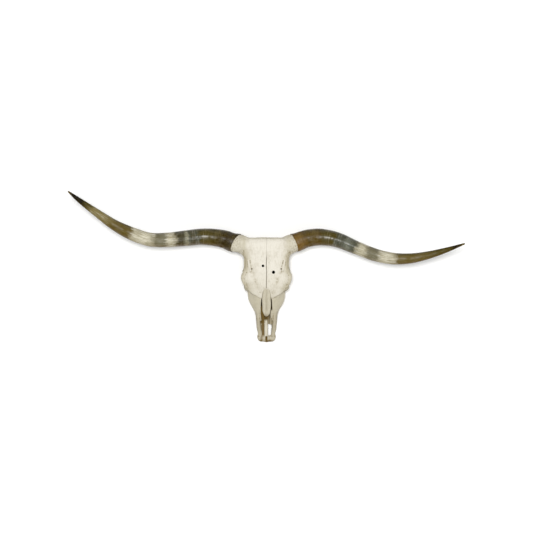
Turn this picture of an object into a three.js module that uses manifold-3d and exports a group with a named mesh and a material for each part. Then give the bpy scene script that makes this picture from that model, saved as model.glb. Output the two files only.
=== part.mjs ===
// A longhorn steer's skull with its horn sheaths, without the lower jaw. It lies as it rests, forehead up,
// on its cheek teeth in front and the two paracondylar processes behind. Millimetres.
// +Z is up, -Y is towards the muzzle, and +X is the animal's left.
//
// Each bone is one solid. The skull is first modelled whole, from swept bars and rounded lumps of bone
// less the hollows, and is then parted along its sutures, bone by bone, with a thin gap.

import * as THREE from "three";
import { mergeVertices } from "three/addons/utils/BufferGeometryUtils.js";
import Module from "manifold-3d";

const wasm = await Module();
wasm.setup();

// Driving dimensions. A place on the skull is [x, s, z]: x from the midline, s forward of the poll
// (the ridge between the horns) and z above the floor.
const POLL_Y = 133; // where the poll lies in the part's frame, whose origin is under the box's centre
const SUTURE = 0.3; // gap between neighbouring bones
const MUZZLE = 489; // s of the muzzle's tip
const ORBIT = { x: 110, s: 188, z: 110, radius: 31 }; // the eye socket's opening
const MOUTH_HALF = 25; // half the width of the nasal opening
const TOOTH_ROW = { first: 197, lengths: [28, 26, 23, 18, 17, 15], gap: 0.5 }; // from the last molar forward
const SHOT_HOLES = [
  { x: -16.2, s: 130, radius: 5 },
  { x: 32.4, s: 159.5, radius: 7 },
];

const BONE = new THREE.MeshStandardMaterial({ color: 0xe4ddcb, roughness: 0.75, metalness: 0 });
const HORN = new THREE.MeshStandardMaterial({ color: 0x7d745a, roughness: 0.35, metalness: 0 });

// --- making solids -----------------------------------------------------------------------------------

function solid(geometry) {
  geometry.deleteAttribute("normal");
  geometry.deleteAttribute("uv");
  const merged = mergeVertices(geometry, 1e-4);
  const mesh = { numProp: 3, vertProperties: merged.attributes.position.array };
  return new wasm.Manifold(new wasm.Mesh({ ...mesh, triVerts: new Uint32Array(merged.index.array) }));
}

const place = ([x, s, z]) => new THREE.Vector3(x, POLL_Y - s, z);

// A rounded lump with half sizes [across, lengthwise, up], turned by degrees about X, Y and Z.
function lump(centre, radii, turn = [0, 0, 0], columns = 8, rows = 5) {
  const geometry = new THREE.SphereGeometry(1, columns, rows).rotateX(Math.PI / 2);
  const turned = new THREE.Euler(...turn.map(THREE.MathUtils.degToRad));
  geometry.scale(...radii).applyMatrix4(new THREE.Matrix4().makeRotationFromEuler(turned));
  return solid(geometry.translate(...place(centre)));
}

// A bar through rings of [x, s, z, half width, half height, flare]. The sections cross the path, as near
// upright as they can be; flare widens their upper half and square makes them boxy.
function sweep(rings, { sides = 8, steps = 1, square = 2, up = [0, 0, 1] } = {}) {
  const path = new THREE.CatmullRomCurve3(rings.map(place), false, "catmullrom");
  const sizes = rings.map(([, , , half, high = half, flare = 0]) => new THREE.Vector3(half, high, flare));
  const size = new THREE.CatmullRomCurve3(sizes, false, "catmullrom");
  const count = steps * (rings.length - 1);
  const geometry = new THREE.CylinderGeometry(1, 1, 1, sides, count);
  const { position } = geometry.attributes;
  const squared = (value) => Math.sign(value) * Math.abs(value) ** (2 / square);
  for (let i = 0; i < position.count; i++) {
    const share = position.getY(i) + 0.5;
    const radius = Math.hypot(position.getX(i), position.getZ(i));
    const angle = Math.atan2(position.getZ(i), position.getX(i));
    const along = path.getTangent(share);
    const across = new THREE.Vector3().crossVectors(along, new THREE.Vector3(...up)).normalize();
    const upward = new THREE.Vector3().crossVectors(across, along);
    const { x: half, y: high, z: flare } = size.getPoint(share);
    const height = radius * squared(Math.sin(angle));
    const width = radius * squared(Math.cos(angle)) * (1 + flare * height);
    const point = path.getPoint(share).addScaledVector(across, half * width);
    point.addScaledVector(upward, high * height);
    position.setXYZ(i, point.x, point.y, point.z);
  }
  return solid(geometry);
}

// The same thing on both sides of the midline.
const both = (make) => make(1).add(make(-1));
const mirrored = (rings, side) => rings.map(([x, ...others]) => [x * side, ...others]);
const bars = (rings, shape) => both((side) => sweep(mirrored(rings, side), shape));
const lumps = ([x, s, z], radii, [a, b, c] = [0, 0, 0]) =>
  both((side) => lump([x * side, s, z], radii, [a, b * side, c * side]));

// A straight-sided region between two levels, drawn in side view as [s, z] or from above as [x, s]. The grown
// copy is larger all round by the suture's gap.
function region(points, low, high, turn) {
  const shape = new THREE.Shape(points.map(([u, v]) => new THREE.Vector2(u, v)));
  const bevel = { bevelSize: SUTURE, bevelThickness: SUTURE, bevelSegments: 1 };
  const extruded = (settings) => {
    const geometry = new THREE.ExtrudeGeometry(shape, { depth: high - low, ...settings });
    return solid(geometry.translate(0, 0, low).applyMatrix4(turn));
  };
  return { exact: extruded({ bevelEnabled: false }), grown: extruded({ bevelEnabled: true, ...bevel }) };
}

const SIDE_VIEW = new THREE.Matrix4().set(0, 0, 1, 0, 1, 0, 0, 0, 0, 1, 0, 0, 0, 0, 0, 1);
const fromTheSide = (points, low, high) => region(points.map(([s, z]) => [POLL_Y - s, z]), low, high, SIDE_VIEW);
const fromAbove = (points, low, high) =>
  region(points.map(([x, s]) => [x, POLL_Y - s]), low, high, new THREE.Matrix4());

function box([x0, x1], [s0, s1], [z0, z1]) {
  const geometry = new THREE.BoxGeometry(x1 - x0, s1 - s0, z1 - z0);
  return solid(geometry.translate((x0 + x1) / 2, POLL_Y - (s0 + s1) / 2, (z0 + z1) / 2));
}

const joined = (solids) => solids.reduce((sum, one) => sum.add(one));
const largest = (made) => made.decompose().reduce((best, one) => (one.volume() > best.volume() ? one : best));

// --- the whole skull -----------------------------------------------------------------------------------

// The forehead: a thick roof, flat on top, that overhangs the temples and the eye sockets.
const forehead = () =>
  sweep(
    [
      [0, 2, 162, 86, 17],
      [0, 22, 159, 98, 27],
      [0, 60, 155, 102, 27],
      [0, 100, 150, 102, 25],
      [0, 135, 146, 104, 24],
      [0, 158, 143, 111, 23],
      [0, 184, 139, 119, 21],
      [0, 206, 134, 112, 22],
      [0, 224, 129, 102, 22],
      [0, 246, 122, 82, 19],
    ],
    { sides: 16, square: 2.7 },
  );

// The braincase under the roof and the wall behind it, which leans forward from the poll to the condyles.
const braincase = () =>
  joined([
    sweep(
      [
        [0, 38, 108, 72, 62],
        [0, 80, 100, 66, 62],
        [0, 130, 96, 58, 57],
        [0, 222, 98, 50, 42],
      ],
      { sides: 10, square: 2.3 },
    ),
    sweep(
      [
        [0, 60, 38, 40, 17],
        [0, 52, 66, 64, 19],
        [0, 42, 92, 84, 22],
        [0, 24, 152, 96, 27],
        [0, 18, 174, 88, 17],
      ],
      { sides: 12, square: 2.6, up: [0, 1, 0] },
    ),
  ]);

// Each horn's line: its core flares out of the forehead's corner, and its sheath goes on from the rim.
const HORN_PATHS = {
  right: [
    [-20, 44, 156, 18],
    [-75, 36, 151, 32],
    [-122, 27, 147, 42.5],
    [-155, 22, 146, 42.5],
    [-206, 4, 142, 40],
    [-289, -5, 144, 37.2],
    [-372, 2, 156, 35.2],
    [-454, 10, 174, 32.9],
    [-536, 9, 194, 30.8],
    [-617, -17, 214, 29.3],
    [-698, -58, 231, 23.3],
    [-780, -115, 244, 16.8],
    [-861, -174, 254, 9.5],
    [-907, -211, 259, 2.2],
  ],
  left: [
    [20, 44, 156, 18],
    [70, 36, 151, 32],
    [109, 27, 147, 42.5],
    [135, 22, 146, 42.5],
    [193, 2, 142, 39.5],
    [258, -3, 143, 37.3],
    [331, 11, 153, 34],
    [414, 46, 170, 29.9],
    [496, 78, 189, 28.2],
    [577, 96, 207, 26.1],
    [659, 96, 223, 22.3],
    [740, 81, 237, 17],
    [821, 58, 248, 10.9],
    [907, 28, 258, 2.2],
  ],
};

// The sheath's rim leans: it lies nearer the skull behind and further out on the upper front.
const RIMS = {
  right: { x: -142, lean: [-0.81, 0.47, -0.35] },
  left: { x: 127, lean: [0.9, 0.38, -0.2] },
};

// A thick slab on the skull's side of the rim, to cut the core from the sheath.
function skullSide(side, gap) {
  const { x, lean } = RIMS[side];
  const reach = 240;
  const outward = new THREE.Vector3(lean[0], lean[1], lean[2]).normalize();
  const geometry = new THREE.BoxGeometry(reach, reach, reach).translate(-reach / 2 - gap, 0, 0);
  geometry.applyQuaternion(new THREE.Quaternion().setFromUnitVectors(new THREE.Vector3(1, 0, 0), outward));
  return solid(geometry.translate(...place([x, 22, 146])));
}

const horn = (side) => sweep(HORN_PATHS[side], { sides: 12 });
const hornCore = (side) => horn(side).intersect(skullSide(side, SUTURE));
const hornSheath = (side) => horn(side).subtract(skullSide(side, 0));

// Where the neck joined: condyles beside the great opening, the processes that hang down and the ridge.
const occiput = () =>
  joined([
    lumps([25, 42, 42], [16, 21, 24], [0, 18, 22]),
    bars(
      [
        [52, 58, 88, 16, 16],
        [53, 62, 52, 11, 14],
        [49, 68, 24, 7, 11],
        [46, 70, -3, 5, 9],
      ],
      { up: [0, 1, 0], sides: 6 },
    ),
    sweep([[0, 46, 46, 21, 12], [0, 100, 44, 19, 12], [0, 165, 54, 14, 10]], { sides: 6 }),
    lumps([36, 96, 42], [12, 20, 19]),
  ]);

// The ear's opening, the jaw's joint and the cheek's arch.
const temples = () =>
  joined([
    bars([[52, 82, 76, 16], [90, 80, 85, 9]], { sides: 6 }),
    lumps([78, 112, 74], [23, 17, 9]),
    bars([
      [78, 98, 82, 8, 12],
      [94, 118, 84, 6, 11],
      [102, 142, 80, 6, 10],
      [107, 168, 74, 7, 9],
      [106, 198, 68, 9, 9],
      [95, 224, 67, 9, 12],
      [76, 250, 66, 9, 13],
    ], { sides: 6 }),
  ]);

// The eye socket's raised rim, a ring that faces outward and a little forward.
const socketRims = () =>
  both((side) => {
    const ring = new THREE.TorusGeometry(ORBIT.radius + 6, 7.5, 5, 14).rotateY(Math.PI / 2);
    ring.rotateZ(THREE.MathUtils.degToRad(-9 * side)).rotateY(THREE.MathUtils.degToRad(-3 * side));
    return solid(ring.translate(...place([(ORBIT.x - 5) * side, ORBIT.s, ORBIT.z])));
  });

// The face from the eye sockets to the nasal opening, with the cheek's tuberosity.
const face = () =>
  joined([
    sweep(
      [
        [0, 200, 94, 66, 52, -0.1],
        [0, 226, 90, 88, 52, -0.15],
        [0, 250, 84, 84, 50, -0.25],
        [0, 275, 77, 80, 47, -0.32],
        [0, 305, 70, 70, 43, -0.36],
        [0, 345, 62, 54, 35, -0.33],
        [0, 384, 52, 44, 22, -0.25],
      ],
      { sides: 14, square: 2.3 },
    ),
    lumps([84, 222, 94], [21, 27, 34], [0, 0, 24]),
  ]);

const toothBone = () =>
  bars(
    [
      [48, 190, 40, 14, 18],
      [51, 215, 36, 15, 20],
      [50, 260, 34, 15, 20],
      [45, 305, 32, 14, 18],
      [34, 362, 32, 10, 12],
    ],
    { square: 3 },
  ).add(sweep([[0, 206, 42, 40, 8], [0, 320, 40, 35, 7], [0, 404, 35, 30, 5]], { square: 4 }));

// Six cheek teeth a side, each a rounded block that stands on the floor.
function teeth() {
  const made = [];
  let behind = TOOTH_ROW.first;
  for (const [index, length] of TOOTH_ROW.lengths.entries()) {
    const s = behind + length / 2;
    const bend = Math.max(0, s - 265) / 65;
    const half = index < 3 ? 12.5 - index * 0.4 : 10.5 - (index - 3) * 0.8;
    const x = 51 - 13 * bend;
    const rings = [
      [x, s, -2, length / 2, half - 1],
      [x, s, 26, length / 2, half],
    ];
    made.push(bars(rings, { sides: 6, square: 4, up: [1, 0, 0] }));
    behind += length + TOOTH_ROW.gap;
  }
  return joined(made);
}

// The muzzle: a bar of bone each side of the nasal opening, a flat front plate and the paired inner rods.
const muzzle = () =>
  joined([
    bars(
      [
        [37, 340, 62, 10, 24, -0.2],
        [37.5, 372, 54, 9.5, 24, -0.3],
        [37, 400, 47, 9.5, 19, -0.3],
        [36, 430, 40, 9.5, 14, -0.2],
        [33, 455, 33, 11, 10],
        [28, 472, 29, 13, 8],
        [22, 481, 27, 12, 6.5],
      ],
      { square: 2.4 },
    ),
    bars([[3, 472, 29, 15, 7], [32, 466, 29, 15, 8]], { square: 2.8, sides: 6 }),
    bars([[6.5, 390, 43, 4, 8], [7, 464, 32, 5, 7]], { square: 3, sides: 6 }),
  ]);

const palateWings = () =>
  joined([
    bars([[26, 140, 52, 6, 20], [28, 170, 39, 5, 26], [30, 212, 42, 8, 16]], { square: 3, sides: 6 }),
    bars([[27, 158, 34, 4, 9], [26, 146, 12, 2, 3]], { up: [0, 1, 0], sides: 5 }),
    sweep([[0, 300, 54, 3, 20], [0, 396, 46, 3.5, 8]], { square: 3 }),
  ]);

// The hollows: eye sockets, the nasal passage, the openings in the palate, the throat's passage, the great
// opening behind, the ears and the two holes through the forehead.
const hollows = () =>
  joined([
    both((side) => {
      const centre = [(ORBIT.x + 2) * side, ORBIT.s, ORBIT.z];
      return lump(centre, [54, ORBIT.radius, 29.5], [0, -4 * side, -13 * side], 10, 6);
    }),
    sweep(
      [
        [0, 262, 106, 20, 14],
        [0, 294, 100, MOUTH_HALF + 1, 31],
        [0, 335, 94, MOUTH_HALF + 3, 44],
        [0, 368, 90, MOUTH_HALF + 2, 44],
        [0, 440, 72, MOUTH_HALF - 5, 36],
        [0, 462, 62, MOUTH_HALF - 10, 28],
      ],
      { sides: 8, square: 3 },
    ),
    sweep([[0, 176, 18, 31, 17], [0, 260, 17, 33, 17], [0, 380, 12, 24, 14]], { square: 2.6 }),
    sweep([[0, 128, 48, 20, 12], [0, 165, 50, 22, 18], [0, 232, 53, 18, 13]], { square: 2.6 }),
    sweep([[0, 10, 68, 24, 22], [0, 50, 60, 19, 18], [0, 88, 58, 15, 15]], { sides: 10 }),
    bars([[100, 76, 86, 4.5], [78, 83, 80, 4]], { sides: 6 }),
    box([-3.5, 3.5], [456, 500], [0, 60]),
    ...SHOT_HOLES.map(({ x, s, radius }) =>
      sweep([[x, s, 210, radius], [x, s, 132, radius]], { up: [0, 1, 0], sides: 10 }),
    ),
  ]);

// Slots through the palate's front, between the inner rods and the side bars.
const palateSlots = () =>
  bars(
    [
      [16.5, 404, 30, 4, 30],
      [17.5, 425, 30, 6, 30],
      [17, 446, 30, 5, 30],
      [16.5, 458, 30, 3, 30],
    ],
    { square: 2.4 },
  );

// The nasal bones: a pair of arched plates whose front ends are free above the opening.
const NASAL_RINGS = [
  [0, 234, 136, 10, 9],
  [0, 248, 132, 15, 9.5],
  [0, 274, 123, 19.5, 9.5],
  [0, 304, 112, 21, 9],
  [0, 332, 101, 19.5, 8],
  [0, 350, 95, 15.5, 6.5],
  [0, 362, 91, 9, 4],
];
const nasals = (grow) =>
  sweep(
    NASAL_RINGS.map(([x, s, z, half, high]) => [x, s + Math.sign(s - 290) * grow, z, half + grow, high + grow]),
    { sides: 10, square: 2.5 },
  );

function wholeSkull() {
  const floor = box([-300, 300], [-300, MUZZLE + 100], [-60, 0]);
  const back = [forehead(), braincase(), occiput(), temples()];
  const front = [socketRims(), face(), toothBone(), muzzle()];
  const afterHollows = [teeth(), palateWings(), hornCore("right"), hornCore("left")];
  const whole = joined([...back, ...front]).subtract(hollows()).add(joined(afterHollows));
  return whole.subtract(joined([palateSlots(), nasals(SUTURE), floor]));
}

// --- parting it into bones -------------------------------------------------------------------------------

const OUT = 320; // beyond the skull on any side
const outward = (side, from) => (side > 0 ? [from, OUT] : [-OUT, -from]);
const half = (side) => outward(side, SUTURE / 2);
const flipped = (points, side) => points.map(([x, s]) => [x * side, s]);

const meeting = (one, other) => ({
  exact: one.exact.intersect(other.exact),
  grown: one.grown.intersect(other.grown),
});

// The bones' outlines: [s, z] from the side, or [x, s] from above for those whose names say so.
const OUTLINES = {
  frontal: [[-90, 260], [-90, 96], [66, 96], [96, 124], [150, 126], [176, 112], [205, 116], [270, 112], [270, 260]],
  frontalFromAbove: [[0, -90], [0, 264], [24, 266], [38, 260], [62, 243], [92, 222], [140, 208], [320, -90]],
  lacrimalFromAbove: [[18, 240], [25, 282], [39, 277], [60, 265], [82, 253], [98, 240], [98, 200], [60, 200]],
  premaxilla: [[344, 110], [356, 76], [398, 52], [430, 5], [520, 5], [520, 110]],
  zygomatic: [[148, 130], [142, 50], [214, 44], [266, 52], [254, 86], [230, 130]],
  maxilla: [[186, -5], [200, 60], [214, 150], [470, 150], [470, -5]],
  temporal: [[58, 64], [58, 122], [146, 122], [146, 58], [100, 50]],
  neck: [[-20, -5], [-20, 110], [62, 110], [76, 60], [78, -5]],
};

// Regions in the order they are taken; each bone is what the ones before it leave in its region.
const REGIONS = {
  frontal: (side) =>
    meeting(
      fromTheSide(OUTLINES.frontal, ...half(side)),
      fromAbove(flipped(OUTLINES.frontalFromAbove, side), 90, 260),
    ),
  premaxilla: (side) => fromTheSide(OUTLINES.premaxilla, ...half(side)),
  lacrimal: (side) => fromAbove(flipped(OUTLINES.lacrimalFromAbove, side), 92, 220),
  zygomatic: (side) => fromTheSide(OUTLINES.zygomatic, ...outward(side, 60)),
  maxilla: (side) => fromTheSide(OUTLINES.maxilla, ...half(side)),
  temporal: (side) => fromTheSide(OUTLINES.temporal, ...outward(side, 50)),
};

function part() {
  let rest = wholeSkull();
  const bones = {};
  for (const [bone, regionOf] of Object.entries(REGIONS)) {
    for (const [name, side] of [["left", 1], ["right", -1]]) {
      const { exact, grown } = regionOf(side);
      bones[`${bone}_${name}`] = largest(rest.intersect(exact));
      rest = largest(rest.subtract(grown));
    }
  }
  const neck = fromTheSide(OUTLINES.neck, -OUT, OUT);
  bones.occipital = largest(rest.intersect(neck.exact));
  bones.sphenoid = largest(rest.subtract(neck.grown));
  const pair = nasals(0);
  for (const [name, x] of [["left", [SUTURE / 2, OUT]], ["right", [-OUT, -SUTURE / 2]]]) {
    bones[`nasal_${name}`] = pair.intersect(box(x, [200, 400], [60, 200]));
    bones[`horn_sheath_${name}`] = hornSheath(name);
  }
  return bones;
}

function mesh(name, made, material) {
  const { vertProperties, triVerts } = made.getMesh();
  const geometry = new THREE.BufferGeometry();
  geometry.setAttribute("position", new THREE.BufferAttribute(vertProperties, 3));
  geometry.setIndex(new THREE.BufferAttribute(triVerts, 1));
  return Object.assign(new THREE.Mesh(geometry, material.clone()), { name });
}

const skull = new THREE.Group();
for (const [name, made] of Object.entries(part())) {
  skull.add(mesh(name, made, name.startsWith("horn_") ? HORN : BONE));
}

export default skull;
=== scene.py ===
# %% [markdown]
# # A longhorn steer's skull
# The real thing is a cleaned, sun-bleached skull that has lost its lower jaw, with both horn sheaths
# still on their cores. It lies on its cheek teeth and on two processes behind, forehead up. The packed
# model fixes where every bone is, so this lesson only remakes each bone's surface and finish.

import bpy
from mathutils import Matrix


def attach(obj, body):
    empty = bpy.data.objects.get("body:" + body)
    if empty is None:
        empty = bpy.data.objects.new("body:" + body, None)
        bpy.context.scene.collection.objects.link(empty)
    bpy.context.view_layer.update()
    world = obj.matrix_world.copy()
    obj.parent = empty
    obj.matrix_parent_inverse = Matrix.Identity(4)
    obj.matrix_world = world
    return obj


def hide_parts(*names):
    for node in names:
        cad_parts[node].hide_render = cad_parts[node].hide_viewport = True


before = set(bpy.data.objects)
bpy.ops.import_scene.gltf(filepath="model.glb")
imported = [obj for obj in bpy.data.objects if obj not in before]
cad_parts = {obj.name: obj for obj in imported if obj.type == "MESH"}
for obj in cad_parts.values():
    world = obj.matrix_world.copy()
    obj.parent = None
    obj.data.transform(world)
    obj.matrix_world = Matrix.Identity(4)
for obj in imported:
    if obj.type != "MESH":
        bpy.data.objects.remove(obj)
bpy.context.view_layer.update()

# %% Libraries and the skull's own coordinates
import math
from time import perf_counter

import bmesh
import bpy
import numpy as np
from mathutils import Euler, Matrix, Vector, noise

STARTED = perf_counter()
MM = 0.001
POLL_Y = 133  # mm: the poll, the ridge between the horns, in the frame
ORBIT = {"x": 110, "s": 188, "z": 110, "radius": 31}  # the eye socket's opening


def place(x, s, z):
    """A place on the skull: x from the midline, s forward of the poll, z above the floor, in mm."""
    return Vector((x, POLL_Y - s, z))


def told(words):
    """Prints what was made, with the time since the start."""
    print(f"{perf_counter() - STARTED:6.1f} s  {words}")


# %% [markdown]
# ## Camera, floor and light
# The skull is looked at straight from above, from far off, as a long lens sees it. The floor is plain
# and near white. The main lamp hangs just behind the camera, so that shadows hide under what casts them,
# the horns get a highlight along their middle and each edge darkens as it turns away. The room is dim
# overhead and pale at the horizon, which the side views see.

# %% The camera
SCALE_MM = 4.63  # mm of skull for each picture point, at the height of the forehead
PICTURE = 533  # picture points along each side
EYE_HEIGHT = 8.0  # m
FOREHEAD = 0.15  # m
SENSOR = 36  # mm


def put(name, data):
    """A new object in the scene."""
    made = bpy.data.objects.new(name, data)
    bpy.context.scene.collection.objects.link(made)
    return made


field = PICTURE * SCALE_MM * MM * EYE_HEIGHT / (EYE_HEIGHT - FOREHEAD)
camera = put("camera", bpy.data.cameras.new("camera"))
camera.data.sensor_width = SENSOR
camera.data.lens = SENSOR * EYE_HEIGHT / field
camera.location = (0, 0, EYE_HEIGHT)
bpy.context.scene.camera = camera
print("lens", round(camera.data.lens, 1), "mm")


# %% Colours, the floor and the lights
def colour(hex_value):
    """A linear colour from an sRGB hex number."""
    parts = [(hex_value >> shift & 255) / 255 for shift in (16, 8, 0)]
    return (*[c / 12.92 if c <= 0.04045 else ((c + 0.055) / 1.055) ** 2.4 for c in parts], 1)


def material(name):
    """An empty node material and its shader."""
    made = bpy.data.materials.new(name)
    made.use_nodes = True
    return made, made.node_tree.nodes["Principled BSDF"]


def add(tree, kind, sockets, **settings):
    """Adds a node, with its settings and what feeds its sockets, a link or a plain value."""
    made = tree.nodes.new("ShaderNode" + kind)
    for name, value in settings.items():
        setattr(made, name, value)
    for socket, value in sockets.items():
        if isinstance(value, bpy.types.NodeSocket):
            tree.links.new(value, made.inputs[socket])
        else:
            made.inputs[socket].default_value = value
    return made


def area_light(name, position, size, power, tint=0xFFFFFF):
    """A square soft light that faces the skull."""
    lamp = bpy.data.lights.new(name, "AREA")
    lamp.size = size
    lamp.energy = power
    lamp.color = colour(tint)[:3]
    light = put(name, lamp)
    light.location = position
    light.rotation_euler = (-Vector(position)).to_track_quat("-Z", "Y").to_euler()


floor_mesh = bmesh.new()
bmesh.ops.create_grid(floor_mesh, x_segments=1, y_segments=1, size=8)
floor_data = bpy.data.meshes.new("floor")
floor_mesh.to_mesh(floor_data)
floor = put("floor", floor_data)
floor_paint, floor_shader = material("white paper")
floor_shader.inputs["Base Color"].default_value = colour(0xFBFBFA)
floor_shader.inputs["Roughness"].default_value = 0.9
floor_shader.inputs["Specular IOR Level"].default_value = 0.1
floor.data.materials.append(floor_paint)

world = bpy.data.worlds.new("studio")
world.use_nodes = True
room = world.node_tree
upward = add(room, "SeparateXYZ", {0: add(room, "TexCoord", {}).outputs["Generated"]}).outputs[2]
fade = {"Value": upward, "From Min": 0.0, "From Max": 0.35, "To Min": 0.95, "To Max": 0.25}
room.nodes["Background"].inputs["Color"].default_value = colour(0xFFFFFF)
room.links.new(add(room, "MapRange", fade).outputs[0], room.nodes["Background"].inputs["Strength"])
bpy.context.scene.world = world
bpy.context.scene.view_settings.view_transform = "Standard"
area_light("lamp over the camera", (-0.25, 0.5, 9.0), 1.5, 640)
area_light("fill", (1.6, -2.6, 7.0), 3.0, 110)
told("camera, floor and lights")

# %% [markdown]
# ## Modelling in clay
# A skull is one flowing surface, which is hard to lay out as faces. So it is built as a sculptor would
# build it: rough bars and lumps are pushed together, a voxel remesh makes them one skin, and smoothing
# melts them into each other. The hollows are made in the same way and are cut out afterwards.


# %% Bars and lumps
def smooth_rows(rings, steps):
    """More rows between the given ones, on a Catmull-Rom curve."""
    # A ring of four numbers is round, and one of fewer than six has no flare.
    whole = [(*ring, ring[3], 0) if len(ring) == 4 else (*ring, 0)[:6] for ring in rings]
    rows = np.array(whole, float)
    padded = np.vstack([2 * rows[0] - rows[1], rows, 2 * rows[-1] - rows[-2]])
    shares = np.linspace(0, len(rows) - 1, steps * (len(rows) - 1) + 1)
    first = np.minimum(shares.astype(int), len(rows) - 2)
    t = (shares - first)[:, None]
    a, b, c, d = (padded[first + k] for k in range(4))
    return 0.5 * (2 * b + (c - a) * t + (2 * a - 5 * b + 4 * c - d) * t**2 + (3 * b - 3 * c + d - a) * t**3)


def squared(value, square):
    """Pushes a circle's sine or cosine towards a box's."""
    return math.copysign(abs(value) ** (2 / square), value)


def sweep(rings, sides=20, steps=4, square=2, up=(0, 0, 1)):
    """A closed bar through rings of (x, s, z, half width, half height, flare), from a stretched cone."""
    rows = smooth_rows(rings, steps)
    count = len(rows) - 1
    bar = bmesh.new()
    bmesh.ops.create_cone(bar, cap_ends=True, segments=sides, radius1=1, radius2=1, depth=count)
    lengthwise = [e for e in bar.edges if abs(e.verts[0].co.z - e.verts[1].co.z) > 0.5]
    if count > 1:
        bmesh.ops.subdivide_edges(bar, edges=lengthwise, cuts=count - 1)
    middles = [place(*row[:3]) for row in rows]
    crossings = []
    for index in range(count + 1):
        along = (middles[min(index + 1, count)] - middles[max(index - 1, 0)]).normalized()
        across = along.cross(Vector(up)).normalized()
        crossings.append((across, across.cross(along)))
    for vertex in bar.verts:
        index = round(vertex.co.z + count / 2)
        across, upward = crossings[index]
        half, high, flare = rows[index][3:6]
        height = squared(vertex.co.y, square)
        width = squared(vertex.co.x, square) * (1 + flare * height)
        vertex.co = middles[index] + across * half * width + upward * high * height
    bmesh.ops.recalc_face_normals(bar, faces=bar.faces)
    return bar


def lump(centre, radii, turn=(0, 0, 0)):
    """A rounded lump with half sizes (across, lengthwise, up), turned by degrees about X, Y and Z."""
    ball = bmesh.new()
    size = Matrix.Diagonal((*radii, 1))
    turned = Euler([math.radians(angle) for angle in turn]).to_matrix().to_4x4()
    matrix = Matrix.Translation(place(*centre)) @ turned @ size
    bmesh.ops.create_uvsphere(ball, u_segments=24, v_segments=14, radius=1, matrix=matrix)
    return ball


def both(make):
    """The same shape on the two sides of the midline."""
    return [make(1), make(-1)]


def mirrored(rings, side):
    """A bar's rings on the left side, 1, or the right, -1."""
    return [(ring[0] * side, *ring[1:]) for ring in rings]


def bars(rings, **shape):
    """A bar on each side of the midline."""
    return both(lambda side: sweep(mirrored(rings, side), **shape))


def lumps(centre, radii, turn=(0, 0, 0)):
    """A lump on each side of the midline."""
    x, s, z = centre
    a, b, c = turn
    return both(lambda side: lump((x * side, s, z), radii, (a, b * side, c * side)))


print("tools for clay: sweep, lump, bars, lumps")


# %% Modifiers as tools
def heap(shapes):
    """One mesh that holds every shape, overlapping."""
    together = bmesh.new()
    for shape in shapes:
        single = bpy.data.meshes.new("shape")
        shape.to_mesh(single)
        together.from_mesh(single)
        bpy.data.meshes.remove(single)
        shape.free()
    mesh = bpy.data.meshes.new("heap")
    together.to_mesh(mesh)
    together.free()
    return mesh


def worked(mesh, *steps):
    """The mesh after modifiers, each a kind and its settings."""
    piece = put("work", mesh)
    for kind, settings in steps:
        modifier = piece.modifiers.new(kind, kind)
        for name, value in settings.items():
            setattr(modifier, name, value)
    made = bpy.data.meshes.new_from_object(piece.evaluated_get(bpy.context.evaluated_depsgraph_get()))
    bpy.data.objects.remove(piece)
    return made


def melted(mesh, voxel, rounds):
    """One skin over all the shapes, smoothed a number of times."""
    remesh = {"mode": "VOXEL", "voxel_size": voxel, "use_smooth_shade": True}
    return worked(mesh, ("REMESH", remesh), ("SMOOTH", {"iterations": rounds, "factor": 0.5}))


def cut(mesh, tool, operation="DIFFERENCE"):
    """The mesh joined to, cut by or kept inside a tool mesh."""
    knife = put("knife", tool)
    made = worked(mesh, ("BOOLEAN", {"object": knife, "operation": operation, "solver": "MANIFOLD"}))
    bpy.data.objects.remove(knife)
    return made


print("tools for meshes: heap, worked, melted, cut")

# %% [markdown]
# ### The skull's mass
# Each block of clay is a region that can be felt on a real skull: the flat forehead, the box of the
# brain, the wall behind it, the arches of the cheeks, the deep face and the thin muzzle.

# %% The forehead, with its brows and the ridges above the temples
forehead = [
    sweep(
        [
            (0, 2, 162, 86, 17),
            (0, 22, 159, 98, 27),
            (0, 60, 156, 105, 27),
            (0, 100, 151, 106, 25),
            (0, 135, 147, 106, 24),
            (0, 156, 144, 107, 23),
            (0, 184, 139, 121, 22),
            (0, 206, 134, 114, 22),
            (0, 224, 129, 103, 22),
            (0, 244, 122, 84, 19),
            (0, 262, 116, 66, 16),
        ],
        sides=40,
        square=2.7,
    ),
    *lumps((80, 185, 140), (42, 40, 22), (8, 12, 0)),
    lump((0, 122, 150), (90, 98, 25), (9, 0, 0)),
    lump((0, 68, 164), (84, 62, 22), (5, 0, 0)),
    *lumps((84, 15, 157), (18, 14, 14)),
    *bars([(148, 44, 141, 13), (119, 58, 142, 15), (99, 74, 142, 15), (90, 98, 140, 13)]),
]

# %% The braincase and the wall behind it
braincase = [
    sweep(
        [(0, 38, 108, 72, 62), (0, 80, 100, 66, 62), (0, 130, 96, 58, 57), (0, 222, 98, 50, 42)],
        sides=32,
        square=2.3,
    ),
    sweep(
        [
            (0, 60, 38, 40, 17),
            (0, 52, 66, 64, 19),
            (0, 42, 92, 84, 22),
            (0, 24, 152, 96, 27),
            (0, 17, 174, 92, 16),
        ],
        sides=32,
        square=3.8,
        up=(0, 1, 0),
    ),
]

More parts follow.
